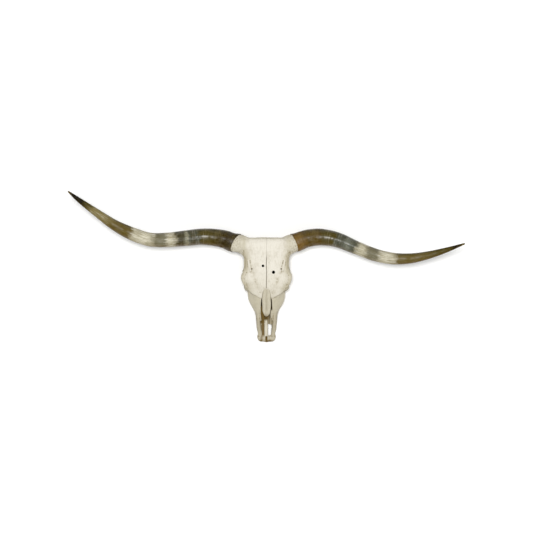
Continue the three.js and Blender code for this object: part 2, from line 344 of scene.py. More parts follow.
# %% The horns: x, s, z and radius along each, from inside the forehead to the tip
HORN_PATHS = {
    "right": [
        (-20, 44, 156, 18),
        (-75, 36, 151, 32),
        (-122, 27, 147, 42.5),
        (-155, 22, 146, 42.5),
        (-206, 4, 142, 40),
        (-289, -5, 144, 37.2),
        (-372, 2, 156, 35.2),
        (-454, 10, 174, 32.9),
        (-536, 9, 194, 30.8),
        (-617, -17, 214, 29.3),
        (-698, -58, 231, 23.3),
        (-780, -115, 244, 16.8),
        (-861, -174, 254, 9.5),
        (-907, -211, 259, 2.2),
    ],
    "left": [
        (20, 44, 156, 18),
        (70, 36, 151, 32),
        (109, 27, 147, 42.5),
        (135, 22, 146, 42.5),
        (193, 2, 142, 39.5),
        (258, -3, 143, 37.3),
        (331, 11, 153, 34),
        (414, 46, 170, 29.9),
        (496, 78, 189, 28.2),
        (577, 96, 207, 26.1),
        (659, 96, 223, 22.3),
        (740, 81, 237, 17),
        (821, 58, 248, 10.9),
        (907, 28, 258, 2.2),
    ],
}
CORE_INSET = (0, 0, 0.5, 2, 9)  # mm that the bony core stays inside the horn's line, ring by ring
cores = []
for path in HORN_PATHS.values():
    core = [(x, s, z, radius - inset) for (x, s, z, radius), inset in zip(path, CORE_INSET)]
    cores.append(sweep(core, sides=40, steps=6))

# %% Where the neck joined, the jaw's joint and the cheek's arch
occiput = [
    *lumps((25, 42, 42), (15, 21, 24), (0, 18, 22)),
    *bars(
        [(52, 58, 88, 16, 16), (53, 62, 52, 11, 14), (49, 68, 24, 7, 11), (46, 70, -4, 5, 9)],
        up=(0, 1, 0),
    ),
    lump((0, 10, 122), (15, 11, 20)),
    *bars([(8, 8, 134, 6), (40, 10, 141, 6.5), (74, 17, 142, 7), (94, 29, 132, 6)], up=(0, 1, 0)),
    *bars([(80, 34, 150, 9, 9), (80, 50, 110, 9, 10), (74, 66, 82, 8, 9)], up=(0, 1, 0)),
    sweep([(0, 46, 46, 21, 12), (0, 100, 44, 19, 12), (0, 165, 54, 14, 10)]),
    *lumps((11, 92, 35), (8, 12, 7)),
    *lumps((36, 96, 42), (12, 20, 19)),
]
temples = [
    *bars([(52, 82, 76, 16), (76, 84, 80, 11), (90, 80, 85, 9)]),
    *lumps((78, 114, 74), (23, 16, 8)),
    *lumps((74, 98, 68), (15, 6, 11)),
    *bars(
        [
            (78, 98, 82, 8, 12),
            (94, 118, 84, 6, 11),
            (102, 142, 80, 6, 10),
            (107, 168, 74, 7, 9),
            (106, 198, 68, 9, 10),
            (95, 224, 67, 9, 12),
            (76, 250, 66, 9, 13),
        ]
    ),
]


# %% The eye sockets' rims
def socket_rim(side):
    """A ring round the eye socket that faces outward and a little forward."""
    rim = bmesh.new()
    bmesh.ops.create_circle(rim, segments=16, radius=7, matrix=Matrix.Rotation(math.radians(90), 4, "X"))
    bmesh.ops.translate(rim, verts=rim.verts, vec=(ORBIT["radius"] + 4.5, 0, 0))
    whole = {"cent": (0, 0, 0), "axis": (0, 0, 1), "angle": math.tau, "steps": 48, "use_merge": True}
    bmesh.ops.spin(rim, geom=rim.verts[:] + rim.edges[:], **whole)
    bmesh.ops.recalc_face_normals(rim, faces=rim.faces)
    lean = Euler((0, math.radians(90 - 3 * side), math.radians(-9 * side)), "XYZ").to_matrix().to_4x4()
    middle = place((ORBIT["x"] - 10) * side, ORBIT["s"], ORBIT["z"])
    bmesh.ops.transform(rim, matrix=Matrix.Translation(middle) @ lean, verts=rim.verts)
    return rim


rims = both(socket_rim)

# %% The face, with the cheek's crest, and the bone that holds the teeth
face = [
    *lumps((44, 258, 112), (30, 34, 16), (20, 24, 0)),
    sweep(
        [
            (0, 200, 94, 66, 52, -0.1),
            (0, 226, 90, 88, 52, -0.15),
            (0, 250, 84, 84, 50, -0.25),
            (0, 275, 77, 83, 47, -0.32),
            (0, 305, 70, 74, 43, -0.36),
            (0, 345, 62, 54, 35, -0.33),
            (0, 384, 52, 44, 22, -0.25),
        ],
        sides=36,
        square=2.3,
    ),
    *lumps((84, 222, 94), (21, 27, 34), (0, 0, 24)),
]
cheek_crest = bars([(84, 236, 70, 8, 8), (78, 262, 62, 8, 8), (71, 292, 55, 9, 9), (60, 318, 50, 7, 8)])
tooth_bone = [
    *bars(
        [
            (48, 190, 40, 14, 18),
            (51, 215, 36, 15, 20),
            (50, 260, 34, 15, 20),
            (45, 305, 32, 14, 18),
            (34, 362, 32, 10, 12),
        ],
        square=3,
    ),
    sweep([(0, 206, 42, 40, 8), (0, 320, 40, 35, 7), (0, 404, 35, 30, 5)], square=4),
]

# %% The muzzle: a bar each side that turns in at the front, and the plate between them
muzzle = [
    *bars(
        [
            (37, 300, 78, 8, 12, -0.2),
            (39.5, 335, 67, 11.5, 19, -0.25),
            (38.5, 370, 55, 11, 23, -0.3),
            (36.5, 400, 47, 11, 19, -0.3),
            (34, 428, 40, 10.5, 14, -0.2),
            (30.5, 447, 34, 10, 9),
            (33.5, 462, 31, 10.5, 7.5),
            (30, 474, 29, 11, 6.5),
            (18, 479, 28, 9.5, 6),
        ],
        square=2.4,
    ),
    *lumps((20, 470, 28.5), (22, 16, 7), (4, 0, 0)),
    sweep([(-31, 473, 27, 9, 6), (0, 479.5, 27.5, 9.5, 6.5), (31, 473, 27, 9, 6)]),
]

# %% Pressing the clay together, the bulky blocks first
CLAY_VOXEL = 2.4  # mm


def opened(mesh):
    """A mesh opened for more work."""
    work = bmesh.new()
    work.from_mesh(mesh)
    return work


bulk = melted(heap([*forehead, *braincase, *cores, *face]), CLAY_VOXEL, 50)
finer = [*occiput, *temples, *rims, *cheek_crest, *tooth_bone, *muzzle]
clay = melted(heap([opened(bulk), *finer]), CLAY_VOXEL, 14)
told(f"the skull's mass: {len(clay.polygons)} faces")

# %% [markdown]
# ### The hollows
# The sockets, the nasal passage, the vault of the palate, the throat's passage and the great opening
# behind are modelled as solids too. Cut out of the mass, they leave walls as thin as a real skull's.

# %% Cutting the hollows
hollows = [
    *lumps((ORBIT["x"] + 2, ORBIT["s"], ORBIT["z"]), (54, ORBIT["radius"], 29.5), (0, -4, -13)),
    sweep(
        [
            (0, 256, 108, 17, 16),
            (0, 276, 106, 23.5, 27),
            (0, 296, 102, 26, 36),
            (0, 335, 94, 27, 44),
            (0, 368, 90, 26, 44),
            (0, 440, 72, 20, 36),
            (0, 462, 62, 15, 28),
        ],
        sides=28,
        square=3,
    ),
    sweep([(0, 176, 18, 31, 17), (0, 260, 17, 33, 17), (0, 380, 12, 24, 14)], square=2.6),
    sweep([(0, 128, 48, 20, 12), (0, 165, 50, 22, 18), (0, 232, 53, 18, 13)], square=2.6),
    sweep([(0, 10, 68, 24, 22), (0, 50, 60, 19, 18), (0, 88, 58, 15, 15)], sides=28),
    *bars([(104, 75, 87, 5), (78, 83, 80, 4.5)], sides=12),
    *lumps((36, -4, 112), (22, 9, 15), (0, 12, 0)),
]
hollow_clay = melted(heap(hollows), CLAY_VOXEL, 3)
carved = cut(clay, hollow_clay)
told(f"the hollows cut: {len(carved.polygons)} faces")

# %% Thin bones that the heavy smoothing would have eaten
thin = [
    *bars([(26, 140, 52, 5, 20), (28, 170, 39, 4.5, 26), (30, 212, 42, 8, 16)], square=3),
    *bars([(27, 158, 34, 4, 9), (26, 152, 20, 3, 6), (26, 146, 12, 2.4, 3)], up=(0, 1, 0)),
    sweep([(0, 300, 54, 3, 20), (0, 350, 51, 3, 14), (0, 384, 46, 3.5, 7)], square=3),
    sweep(
        [(-1, 382, 44, 4, 6), (-1.6, 398, 42, 8, 7.5), (-1.7, 430, 37, 8.7, 7), (-1.5, 464, 31, 9, 7)],
        square=3,
    ),
    sweep([(-17, 392, 41, 10, 7), (-18, 428, 32, 9, 6), (-16, 458, 26, 9, 6)], square=3),
]
scrolls = [  # the thin scrolls of the nose, which show as lumps in the opening
    sweep([(-21, 316, 80, 5, 6), (-19, 345, 70, 8, 7), (-16, 372, 55, 9, 8), (-16, 404, 38, 9, 7)]),
    sweep([(19, 352, 64, 5, 9), (19.5, 376, 54, 6, 12), (19, 403, 46, 6, 9)]),
    sweep([(23, 334, 84, 4, 8), (23.5, 352, 79, 6, 9), (23.5, 372, 70, 5, 9)]),
]
slot = sweep(
    [(16, 406, 30, 5, 30), (17.2, 424, 30, 7.2, 30), (17, 444, 30, 7.2, 30), (16, 454, 30, 4, 30)],
    square=2.6,
)
fissure = sweep([(-0.5, 460, 45, 2.4, 17), (-0.5, 472, 45, 4.2, 17), (-0.5, 483, 45, 3.2, 17)], sides=12)
FINE_VOXEL = 1.5  # mm
body = melted(heap([opened(carved), *thin, *scrolls]), FINE_VOXEL, 2)
body = melted(cut(body, heap([slot, fissure])), FINE_VOXEL, 2)
told(f"thin bones added: {len(body.polygons)} faces")

# %% [markdown]
# ### The nasal bones
# A pair of arched plates that lie in a notch of the forehead's front edge. Their front ends are free and
# stand over the opening of the nose, so each is thin there.

# %% The nasal bones' shape
NASAL_HALVES = [  # x of the middle, s, z, half width, half height
    (4, 234, 140, 7, 7),
    (6.8, 247, 136, 10, 8.5),
    (9, 274, 125.5, 11.4, 9),
    (9.6, 304, 113.5, 11.4, 8.5),
    (8.8, 332, 102.5, 10.4, 7.5),
    (7.8, 346, 97.5, 8.8, 6.2),
    (5.4, 356, 94, 7, 4.6),
    (3, 362, 92, 4.2, 3),
]
tip = sweep([(0, 338, 100, 10, 5), (0, 354, 95.5, 9.5, 5), (0, 365, 91.5, 5, 3)])
arch = heap([*bars(NASAL_HALVES, sides=24, steps=5, square=2.2), tip])
hollow_below = [(0, 228, 122, 9, 12), (0, 274, 111, 17, 15), (0, 332, 90, 17, 13), (0, 376, 76, 13, 11)]
underside = heap([sweep(hollow_below)])
NASAL_VOXEL = 0.9  # mm
nasal_pair = cut(melted(arch, NASAL_VOXEL, 8), underside)
nasal_pair = melted(nasal_pair, NASAL_VOXEL, 3)
told(f"nasal bones: {len(nasal_pair.polygons)} faces")

# %% [markdown]
# ## Sutures, foramina and plates
# Bones meet in sutures: shallow, wavy grooves that never run straight for long. Each is given by a few
# points, and one wave formula makes it wander. The same formula bends the groove, the knife that parts the
# bones and later the dark line in the paint, so that they agree wherever a suture shows.

# %% Lines on the skull
WAVE = 1.2  # mm that a suture strays to either side
PITCH = 8  # mm from one bend to the next


def wave(run, length):
    """How far a suture strays from its line, run mm along one straight stretch."""
    fade = np.clip(np.minimum(run, length - run) / 5, 0, 1)
    return WAVE * fade * np.sin(math.tau * run / PITCH + 1.7 * np.sin(math.tau * run / 31))


def distance(flat, line, wavy=True):
    """How far flat points are from a line through a few points, in mm."""
    nearest = np.full(len(flat), 1e6)
    for start, end in zip(line, line[1:]):
        length = math.dist(start, end)
        along = np.subtract(end, start) / length
        run = (flat - start) @ along
        off = (flat - start) @ np.array([-along[1], along[0]])
        if wavy:
            off = off - wave(run, length)
        beyond = run - np.clip(run, 0, length)
        nearest = np.minimum(nearest, np.hypot(off, beyond))
    return nearest


def smoothstep(low, high, values):
    """Rises from 0 to 1 between two values, without a kink."""
    share = np.clip((values - low) / (high - low), 0, 1)
    return share * share * (3 - 2 * share)


def between(values, rise, fall):
    """1 between a rise and a fall, each given by two values, and 0 outside them."""
    return smoothstep(*rise, values) * smoothstep(*fall, values)


def fading(off, width):
    """1 where off is 0, falling to nothing at about twice the width."""
    return np.exp(-((off / width) ** 2))


def near_line(flat, line, width):
    """1 on a line, falling to nothing beside it."""
    return fading(distance(flat, line, wavy=False), width)


def skin(mesh):
    """The mesh's points and normals."""
    points, normals = (np.empty(len(mesh.vertices) * 3) for _ in range(2))
    mesh.vertices.foreach_get("co", points)
    mesh.vertices.foreach_get("normal", normals)
    return points.reshape(-1, 3), normals.reshape(-1, 3)


def surface(mesh):
    """The mesh's points as x, s, z, and its normals, which keep the frame's own axes."""
    points, normals = skin(mesh)
    points[:, 1] = POLL_Y - points[:, 1]
    return points, normals


def grain(points, size, seed=0):
    """Soft seeded noise between about -1 and 1, with lumps of the given size in mm."""
    shift = Vector((17.3 * seed, 5.1, 0.7))
    return np.array([noise.noise(Vector(point) + shift) for point in (points / size).tolist()]) * 1.6


print("a suture bends every", PITCH, "mm")

# %% Which sutures show: (x, s) from above, (s, z) from the side with the least distance from the midline
TOP_SEAMS = [
    [(24, 266), (38, 260), (62, 243), (92, 222), (112, 214)],
    [(25, 282), (39, 277), (60, 265), (82, 253), (97, 240)],
]
SIDE_SEAMS = [
    (55, [(266, 52), (254, 86), (246, 104)]),
    (90, [(148, 100), (142, 50)]),
    (27, [(344, 110), (356, 76), (398, 52), (430, 5)]),
    (40, [(66, 96), (96, 124), (150, 126)]),
    (20, [(62, 110), (76, 60), (84, 42), (86, 0)]),
    (20, [(100, 50), (58, 64)]),
]
METOPIC = [(0, 3), (0, 234)]  # between the two frontal bones
OPEN_FROM = 87  # s: from here forward that suture gapes
PLATE_EDGE = TOP_SEAMS[1]
SUPRAORBITAL = [(77, 106), (72.5, 128), (68.5, 143)]  # the groove that leads to the vessels' opening
BROW_RIDGE = [(85, 104), (80.5, 128), (75.5, 152)]
BROW_TROUGH = [(68, 152), (50, 205), (33, 250)]
NASAL_PROCESS = [(15, 236), (20, 254), (25, 274)]
NASAL_EDGE = [(0, 232), (7, 234), (14, 242), (18, 258), (21, 284)]
TEMPORAL_LINE = [(101, 76), (95, 92), (92.5, 118), (96, 140)]
TEMPORAL_GROOVE = [(101, 92), (98.5, 118), (101, 138)]
ORBIT_FOLD = [(96, 162), (104, 184), (100, 206), (89, 226), (76, 240)]
FAINT = 0.1  # how much of a full suture shows where two bones have nearly grown together
SEAM_WIDTH = 1.3  # mm


def seam_share(points, normals):
    """1 in the middle of a suture, falling to 0 beside it."""
    x, s, z = points.T
    above = np.column_stack([np.abs(x), s])
    beside = np.column_stack([s, z])
    share = np.zeros(len(points))
    top = (z > 88) & (normals[:, 2] > 0.05)
    for line, strength in zip((*TOP_SEAMS, NASAL_EDGE), (FAINT, 1, 0.6)):
        share = np.maximum(share, top * strength * fading(distance(above, line), SEAM_WIDTH))
    for inner, line in SIDE_SEAMS:
        share = np.maximum(share, (np.abs(x) > inner) * fading(distance(beside, line), SEAM_WIDTH))
    return share * (1 - 0.6 * smoothstep(330, 345, s))


def metopic_share(points, normals):
    """1 on the line between the frontal bones, on the forehead's outer face."""
    along = points * (0, 1, 0)
    wander = 0.9 * grain(along, 24, 10) + 0.35 * grain(along, 5, 11)
    line = near_line(points[:, :2] + np.column_stack([wander, 0 * wander]), METOPIC, SEAM_WIDTH)
    return line * (normals[:, 2] > 0.2) * (points[:, 2] > 110)


def gaping(s):
    """0 where that line is closed, and 1 where it gapes."""
    return smoothstep(OPEN_FROM - 14, OPEN_FROM + 10, s)


# %% The sheaths' rims, each a slanting plane across the core
RIMS = {
    "right": {"x": -140, "lean": (-0.85, 0.43, -0.3)},
    "left": {"x": 127, "lean": (0.9, 0.38, -0.2)},
}


def rim_distance(points, name):
    """How far points in x, s, z lie beyond a rim, towards the horn's tip."""
    lean = np.array(RIMS[name]["lean"]) / np.linalg.norm(RIMS[name]["lean"])
    return (points - (RIMS[name]["x"], 22, 146)) @ (lean * (1, -1, 1))


# %% Pressing them into the surface
SEAM_DEPTH = 0.7  # mm
METOPIC_DEPTH = {"closed": 0.35, "open": 1.8}  # mm
PLATE_STEP = 1.9  # mm that the cheek's plate stands over the upper jaw


def plate_relief(points, upper):
    """The plate's edge: high on the poll's side of the line, dying away towards the forehead."""
    wide, s = np.abs(points[:, 0]), points[:, 1]
    edge = distance(np.column_stack([wide, s]), PLATE_EDGE)
    plate = (s < np.interp(wide, *np.array(PLATE_EDGE).T)) & (wide > 20) & (wide < 112)
    raised = PLATE_STEP * np.where(plate, fading(edge, 15), 0)
    return upper * (raised - 0.9 * fading(edge, 1.5) * (wide > 22))


def line_relief(points, upper):
    """The ridges and grooves of the brows, the temples and the sockets."""
    above = np.column_stack([np.abs(points[:, 0]), points[:, 1]])
    strayed = above + 1.6 * grain(points, 16, 15)[:, None]
    broken = 0.7 + 0.5 * grain(points, 11, 16)
    moved = 2.6 * broken * near_line(strayed, BROW_RIDGE, 3.6)
    moved -= 2.1 * broken * near_line(strayed, SUPRAORBITAL, 2.2)
    for line, width, height in (
        (BROW_TROUGH, 14, -2.0),
        (NASAL_PROCESS, 3.2, 0.9),
        (TEMPORAL_LINE, 3, 1.2),
        (TEMPORAL_GROOVE, 3, -1.4),
    ):
        moved += height * near_line(above, line, width)
    moved -= 1.5 * near_line(above + 2.5 * grain(points, 14, 9)[:, None], ORBIT_FOLD, 6)
    return upper * moved


def wrinkles(points, upper):
    """Fine wrinkles round the socket's upper rim, and lengthwise on the edge above the temple."""
    wide, s = np.abs(points[:, 0]), points[:, 1]
    from_socket = np.hypot(wide - 84, s - 192)
    band = smoothstep(14, 22, from_socket) * (wide > 70) * between(s, (150, 164), (250, 236))
    moved = 0.26 * band * np.sin(math.tau * from_socket / 7.5 + 3.5 * grain(points, 18, 12))
    band = smoothstep(84, 90, wide) * between(s, (66, 80), (158, 144))
    moved += 0.35 * band * np.sin(math.tau * wide / 6 + 3 * grain(points * (1, 0.4, 1), 16, 13))
    return upper * moved


def relief(points, normals):
    """How far each point moves along its normal, in mm."""
    x, s, z = points.T
    wide = np.abs(x)
    upper = smoothstep(0.1, 0.5, normals[:, 2]) * (z > 88)
    moved = plate_relief(points, upper) + line_relief(points, upper) + wrinkles(points, upper)
    moved -= SEAM_DEPTH * seam_share(points, normals)
    opening = METOPIC_DEPTH["closed"] + (METOPIC_DEPTH["open"] - METOPIC_DEPTH["closed"]) * gaping(s)
    moved -= opening * metopic_share(points, normals)
    moved += 0.7 * gaping(s) * upper * fading(x - 4.2, 2.2) * (s < 232)

    # The cores grow in rings that lie parallel to the sheath's rim.
    for name, side in (("left", 1), ("right", -1)):
        behind_rim = -rim_distance(points, name)
        near = np.exp(-np.abs(behind_rim) / 22) * (x * side > 96)
        moved += 0.8 * near * np.sin(math.tau * behind_rim / 9.5 + 2.5 * grain(points, 24, 6))

    # Broad unevenness everywhere, and the rough bone round the horns' bases and on the wall behind.
    rough = 0.25 + 0.9 * smoothstep(92, 116, wide) * smoothstep(88, 66, s)
    rough += 0.6 * smoothstep(78, 92, wide) * smoothstep(140, 158, s) * (s < 250)
    rough += 0.5 * smoothstep(0.2, 0.7, normals[:, 1]) * (s < 70)
    moved += 0.7 * grain(points, 26, 1) + rough * (0.6 * grain(points, 8, 2) + 0.3 * grain(points, 3.4, 3))
    return moved


def shifted(mesh, amount):
    """Moves each point along its normal."""
    points, normals = skin(mesh)
    mesh.vertices.foreach_set("co", (points + normals * amount[:, None]).ravel())
    mesh.update()
    return mesh


body = shifted(body, relief(*surface(body)))
points, normals = surface(nasal_pair)
groove = fading(points[:, 0], 1.6) * (normals[:, 2] > 0.2)
drawn_out = points * (1, 0.1, 0)
nasal_pair = shifted(nasal_pair, 0.7 * grain(drawn_out, 4, 4) + 0.3 * grain(points, 18, 5) - 0.5 * groove)
told("sutures and grooves pressed in")

# %% [markdown]
# ### Crisp holes
# Smoothing rounds every edge, so the sharp holes come after it: two round holes through the forehead, the
# openings that let vessels through over the orbits and on the face, and the seat of the nasal bones.

# %% Drilling
SHOT_HOLES = [(-16.2, 130, 6.0), (32.4, 159.5, 7.4)]  # x, s and radius
SHOT_FLOOR = 92  # z where both end


def hole(start, end, radius, narrow=1.0, sides=24):
    """A round tapered rod between two places."""
    rod = bmesh.new()
    line = place(*end) - place(*start)
    turn = line.to_track_quat("Z", "Y").to_matrix().to_4x4()
    matrix = Matrix.Translation((place(*start) + place(*end)) / 2) @ turn
    ends = {"radius1": radius, "radius2": radius * narrow, "depth": line.length}
    bmesh.ops.create_cone(rod, cap_ends=True, segments=sides, matrix=matrix, **ends)
    return rod


drills = [hole((x, s, SHOT_FLOOR), (x, s, 200), radius, sides=40) for x, s, radius in SHOT_HOLES]
drills += both(lambda side: hole((66 * side, 150, 126), (68.5 * side, 143, 178), 2.0, 1.5))
drills += [hole((78, 155, 135), (78, 155, 180), 1.5), hole((-80, 149, 140), (-79, 149, 180), 1.0)]
drills += both(lambda side: hole((30 * side, 322, 44), (64 * side, 352, 54), 3.2, 1.3))
drilled = cut(body, heap(drills))
ROOM = 0.5  # mm that the nasal bones' seat is larger than they are
seat = []
for x, s, z, half, high in NASAL_HALVES:
    seat.append((x, s + (-ROOM if s < 300 else ROOM), z, half + ROOM, high + ROOM))
drilled = cut(drilled, melted(heap(bars(seat, sides=24, steps=5, square=2.2)), NASAL_VOXEL, 8))
told(f"drilled: {len(drilled.polygons)} faces")

# %% [markdown]
# ### Cheek teeth
# Cattle have six upper cheek teeth a side: three small premolars of one lobe each and three molars of two.
# Wear leaves each flat below, with a crescent of enamel in each lobe. The skull rests on them.

# %% The teeth
TOOTH_GAP = 0.5  # mm
LAST_MOLAR = 197  # s where it starts
TOOTH_LENGTHS = [28, 26, 23, 18, 17, 15]  # mm, from the last molar forward
TOOTH_ENDS = np.cumsum([LAST_MOLAR, *[length + TOOTH_GAP for length in TOOTH_LENGTHS]])
UPRIGHT = {"up": (0, 1, 0)}


def lobe_of_tooth(x, s, half, reach, side):
    """One lobe with its two ribs outside, and the crescent pit in its worn face."""
    crown = [(x, s, -3, half - 1.4, reach + 0.3), (x, s, 14, half - 0.4, reach)]
    crown.append((x, s, 27, half, reach - 0.5))
    shapes = [sweep(crown, sides=24, steps=3, square=2.15, **UPRIGHT)]
    for shift, thick in ((-0.95, 1.9), (0, 1.4)):
        out = x + (half - 0.5 - 2.5 * abs(shift)) * side
        rib = [(out, s + shift * reach, z, thick) for z in (-3, 26)]
        shapes.append(sweep(rib, sides=8, steps=1, **UPRIGHT))
    pit = []
    for turn, width in ((-1.2, 0.5), (0, 1.3), (1.2, 0.5)):
        pit.append((x + side * (2.6 * math.cos(turn) - 1), s + reach * 0.62 * turn / 1.2, 0, width, 2))
    return shapes, sweep(pit, sides=8, steps=4)


def tooth_row(side):
    """The lobes and ribs of one side's teeth, and the pits in their worn faces."""
    lobes, pits = [], []
    for index, (behind, length) in enumerate(zip(TOOTH_ENDS, TOOTH_LENGTHS)):
        molar = index < 3
        half = 12.5 - index * 0.4 if molar else 10.5 - (index - 3) * 0.8
        count = 2 if molar else 1
        for number in range(count):
            s = behind + length * (number + 0.5) / count
            x = (51 - 13 * max(0, s - 265) / 65) * side
            shapes, pit = lobe_of_tooth(x, s, half, length / count / 2, side)
            lobes += shapes
            pits.append(pit)
    return lobes, pits


rows = both(tooth_row)
TOOTH_VOXEL = 0.9  # mm
teeth = melted(heap([lobe for lobes, _ in rows for lobe in lobes]), TOOTH_VOXEL, 2)
ground = bmesh.new()
below = Matrix.Translation((0, 0, -30)) @ Matrix.Diagonal((300, 400, 30, 1))
bmesh.ops.create_cube(ground, size=2, matrix=below)
ground = heap([ground])
teeth = cut(teeth, ground)
for _, pits in rows:
    teeth = cut(teeth, heap(pits))
toothed = cut(cut(drilled, teeth, "UNION"), ground)
told(f"with teeth: {len(toothed.polygons)} faces")

# %% [markdown]
# ### Parting the skull into bones
# Each bone's outline becomes a thick wavy slab, drawn from the side or from above. What the slab holds is
# the bone, and what is left goes on to the next.

# %% The outlines
FAR = 320  # mm, beyond the skull on any side
OUTLINES = {
    "frontal": [
        [(-90, 260), (-90, 96), (66, 96), (96, 124), (150, 126), (176, 112), (205, 116), (270, 112)]
        + [(270, 260)],
        [(0, -90), (0, 264), (24, 266), (38, 260), (62, 243), (92, 222), (97, 236), (140, 236), (320, -90)],
    ],
    "premaxilla": [[(344, 110), (356, 76), (398, 52), (430, 5), (520, 5), (520, 110)]],
    "lacrimal": [[(18, 240), (25, 282), (39, 277), (60, 265), (82, 253), (97, 240), (98, 200), (60, 200)]],
    "zygomatic": [
        [(148, 130), (148, 100), (142, 50), (214, 44), (266, 52), (254, 86), (246, 104), (230, 130)],
    ],
    "maxilla": [[(186, -5), (200, 60), (214, 150), (470, 150), (470, -5)]],
    "temporal": [[(58, 64), (58, 122), (154, 122), (154, 58), (100, 50)]],
}
INNER = {"zygomatic": 78, "temporal": 50}  # how far from the midline those two start
STEP = 1.2  # mm between the points along a wavy edge


def slab(outline, low, high, from_side, side=1):
    """A thick slab with a wavy outline, drawn as (s, z) from the side or (x, s) from above."""
    flat = []
    for start, end in zip(outline, outline[1:] + outline[:1]):
        length = math.dist(start, end)
        along = np.subtract(end, start) / length
        for run in np.arange(0, length, STEP if length < 90 else length):
            flat.append(start + along * run + np.array([-along[1], along[0]]) * wave(run, length))
    cutter = bmesh.new()
    level = low * side
    spots = [place(level, *point) if from_side else place(point[0] * side, point[1], low) for point in flat]
    cutter.faces.new([cutter.verts.new(spot) for spot in spots])
    raised = bmesh.ops.extrude_face_region(cutter, geom=cutter.faces[:])
    top = [item for item in raised["geom"] if isinstance(item, bmesh.types.BMVert)]
    thickness = (high - low) * Vector((side, 0, 0)) if from_side else Vector((0, 0, high - low))
    bmesh.ops.translate(cutter, verts=top, vec=thickness)
    bmesh.ops.recalc_face_normals(cutter, faces=cutter.faces)
    return heap([cutter])


def region(bone, side):
    """The slab that holds one bone of one side."""
    outlines = OUTLINES[bone]
    if bone == "lacrimal":
        return slab(outlines[0], 92, 220, False, side)
    held = slab(outlines[0], INNER.get(bone, 0), FAR, True, side)
    if len(outlines) > 1:
        held = cut(held, slab(outlines[1], 90, 260, False, side), "INTERSECT")
    return held


# %% [markdown]
# ### Clearing up after the saw
# A Boolean cut leaves hair-thin faces, faces that lie back to back and crumbs beyond a wavy edge. They
# hardly show, but a clean mesh is one closed shell, so each bone is closed up and its crumbs are deleted.

# %% Closing up a cut bone
CRUMB = 130  # points: a loose bit with fewer is only what a cut has left
HAIR = 0.02  # mm: a face thinner than this is closed up


def closed_up(work):
    """Closes hair-thin faces, takes out doubled faces and fins, and fills what they leave open."""
    bmesh.ops.triangulate(work, faces=work.faces, quad_method="BEAUTY", ngon_method="BEAUTY")
    bmesh.ops.dissolve_degenerate(work, edges=work.edges, dist=HAIR)
    bmesh.ops.triangulate(work, faces=[face for face in work.faces if len(face.verts) > 3])
    sharing = {}
    for face in work.faces:
        sharing.setdefault(frozenset(face.verts), []).append(face)
    doubled = [face for faces in sharing.values() if len(faces) > 1 for face in faces]
    bmesh.ops.delete(work, geom=doubled, context="FACES")
    for _ in range(3):
        loose = [face for face in work.faces if any(edge.is_boundary for edge in face.edges)]
        fins = [face for face in loose if sum(len(edge.link_faces) != 2 for edge in face.edges) > 1]
        bmesh.ops.delete(work, geom=fins, context="FACES")
    bmesh.ops.holes_fill(work, edges=[edge for edge in work.edges if edge.is_boundary])


def without_crumbs(mesh):
    """The mesh less its faults and the loose bits of a few faces that cutting leaves."""
    work = opened(mesh)
    closed_up(work)
    unseen = set(work.verts)
    crumbs = []
    while unseen:
        bit = [unseen.pop()]
        for vertex in bit:
            for edge in vertex.link_edges:
                other = edge.other_vert(vertex)
                if other in unseen:
                    unseen.remove(other)
                    bit.append(other)
        if len(bit) < CRUMB:
            crumbs += bit
    bmesh.ops.delete(work, geom=crumbs, context="VERTS")
    bad = sum(len(edge.link_faces) != 2 for edge in work.edges)
    print(len(crumbs), "points of crumbs,", bad, "open or doubled edges left")
    return heap([work])


# %% Parting
SIDES = {"left": 1, "right": -1}
rest = toothed
bones = {}
for bone in OUTLINES:
    for name, side in SIDES.items():
        tool = region(bone, side)
        bones[f"{bone}_{name}"] = cut(rest, tool, "INTERSECT")
        rest = cut(rest, tool)
neck = slab([(-20, -5), (-20, 110), (62, 110), (76, 60), (84, 42), (86, -5)], -FAR, FAR, True)
bones["occipital"] = cut(rest, neck, "INTERSECT")
bones["sphenoid"] = cut(rest, neck)
for name, side in SIDES.items():
    half_space = slab([(200, 60), (400, 60), (400, 200), (200, 200)], 0, 100, True, side)
    bones[f"nasal_{name}"] = cut(nasal_pair, half_space, "INTERSECT")
bones = {name: without_crumbs(mesh) for name, mesh in bones.items()}
for name, mesh in bones.items():
    print(f"{name}: {sum(len(face.vertices) - 2 for face in mesh.polygons)} triangles")
told("parted into bones")

# %% [markdown]
# ### The horn sheaths
# A sheath is a cone of keratin that grows from its rim, so it carries rings near the skull and fibres along
# its length. Each is a tube whose rows follow the horn's line. Its first row is found by running each
# column back to the slanting, ragged rim, and a lip is turned in so that the wall shows its thickness.

# %% The sheaths
PROUD = 1.0  # mm that a sheath stands over the line of its core
WALL = 3.4  # mm
LIP_DEPTH = 26  # mm that the inner wall reaches in
SHEATH_ROWS = 400
SHEATH_SIDES = 108
RING_PITCH = 5.5  # mm between growth rings
RINGS_REACH = 240  # mm from the rim over which they fade
NEAR_RIM = 200  # steps of the horn's line among which the rim is looked for
TIP_ROWS = 8  # the last rows, which are even


def horn_line(name):
    """The horn's line in close steps: middles, the two directions across it, its radius and its length."""
    rows = smooth_rows(HORN_PATHS[name], 30)
    middles = np.column_stack([rows[:, 0], POLL_Y - rows[:, 1], rows[:, 2]])
    along = np.gradient(middles, axis=0)
    along /= np.linalg.norm(along, axis=1)[:, None]
    across = np.cross(along, (0, 0, 1))
    across /= np.linalg.norm(across, axis=1)[:, None]
    steps = np.linalg.norm(np.diff(middles, axis=0), axis=1)
    run = np.concatenate([[0], np.cumsum(steps)])
    tip = np.clip((run[-1] - run) / 4, 0, 1)
    radius = (rows[:, 3] + PROUD) * np.sqrt(1 - (1 - tip) ** 2 * 0.98)
    return middles, across, np.cross(across, along), radius, run


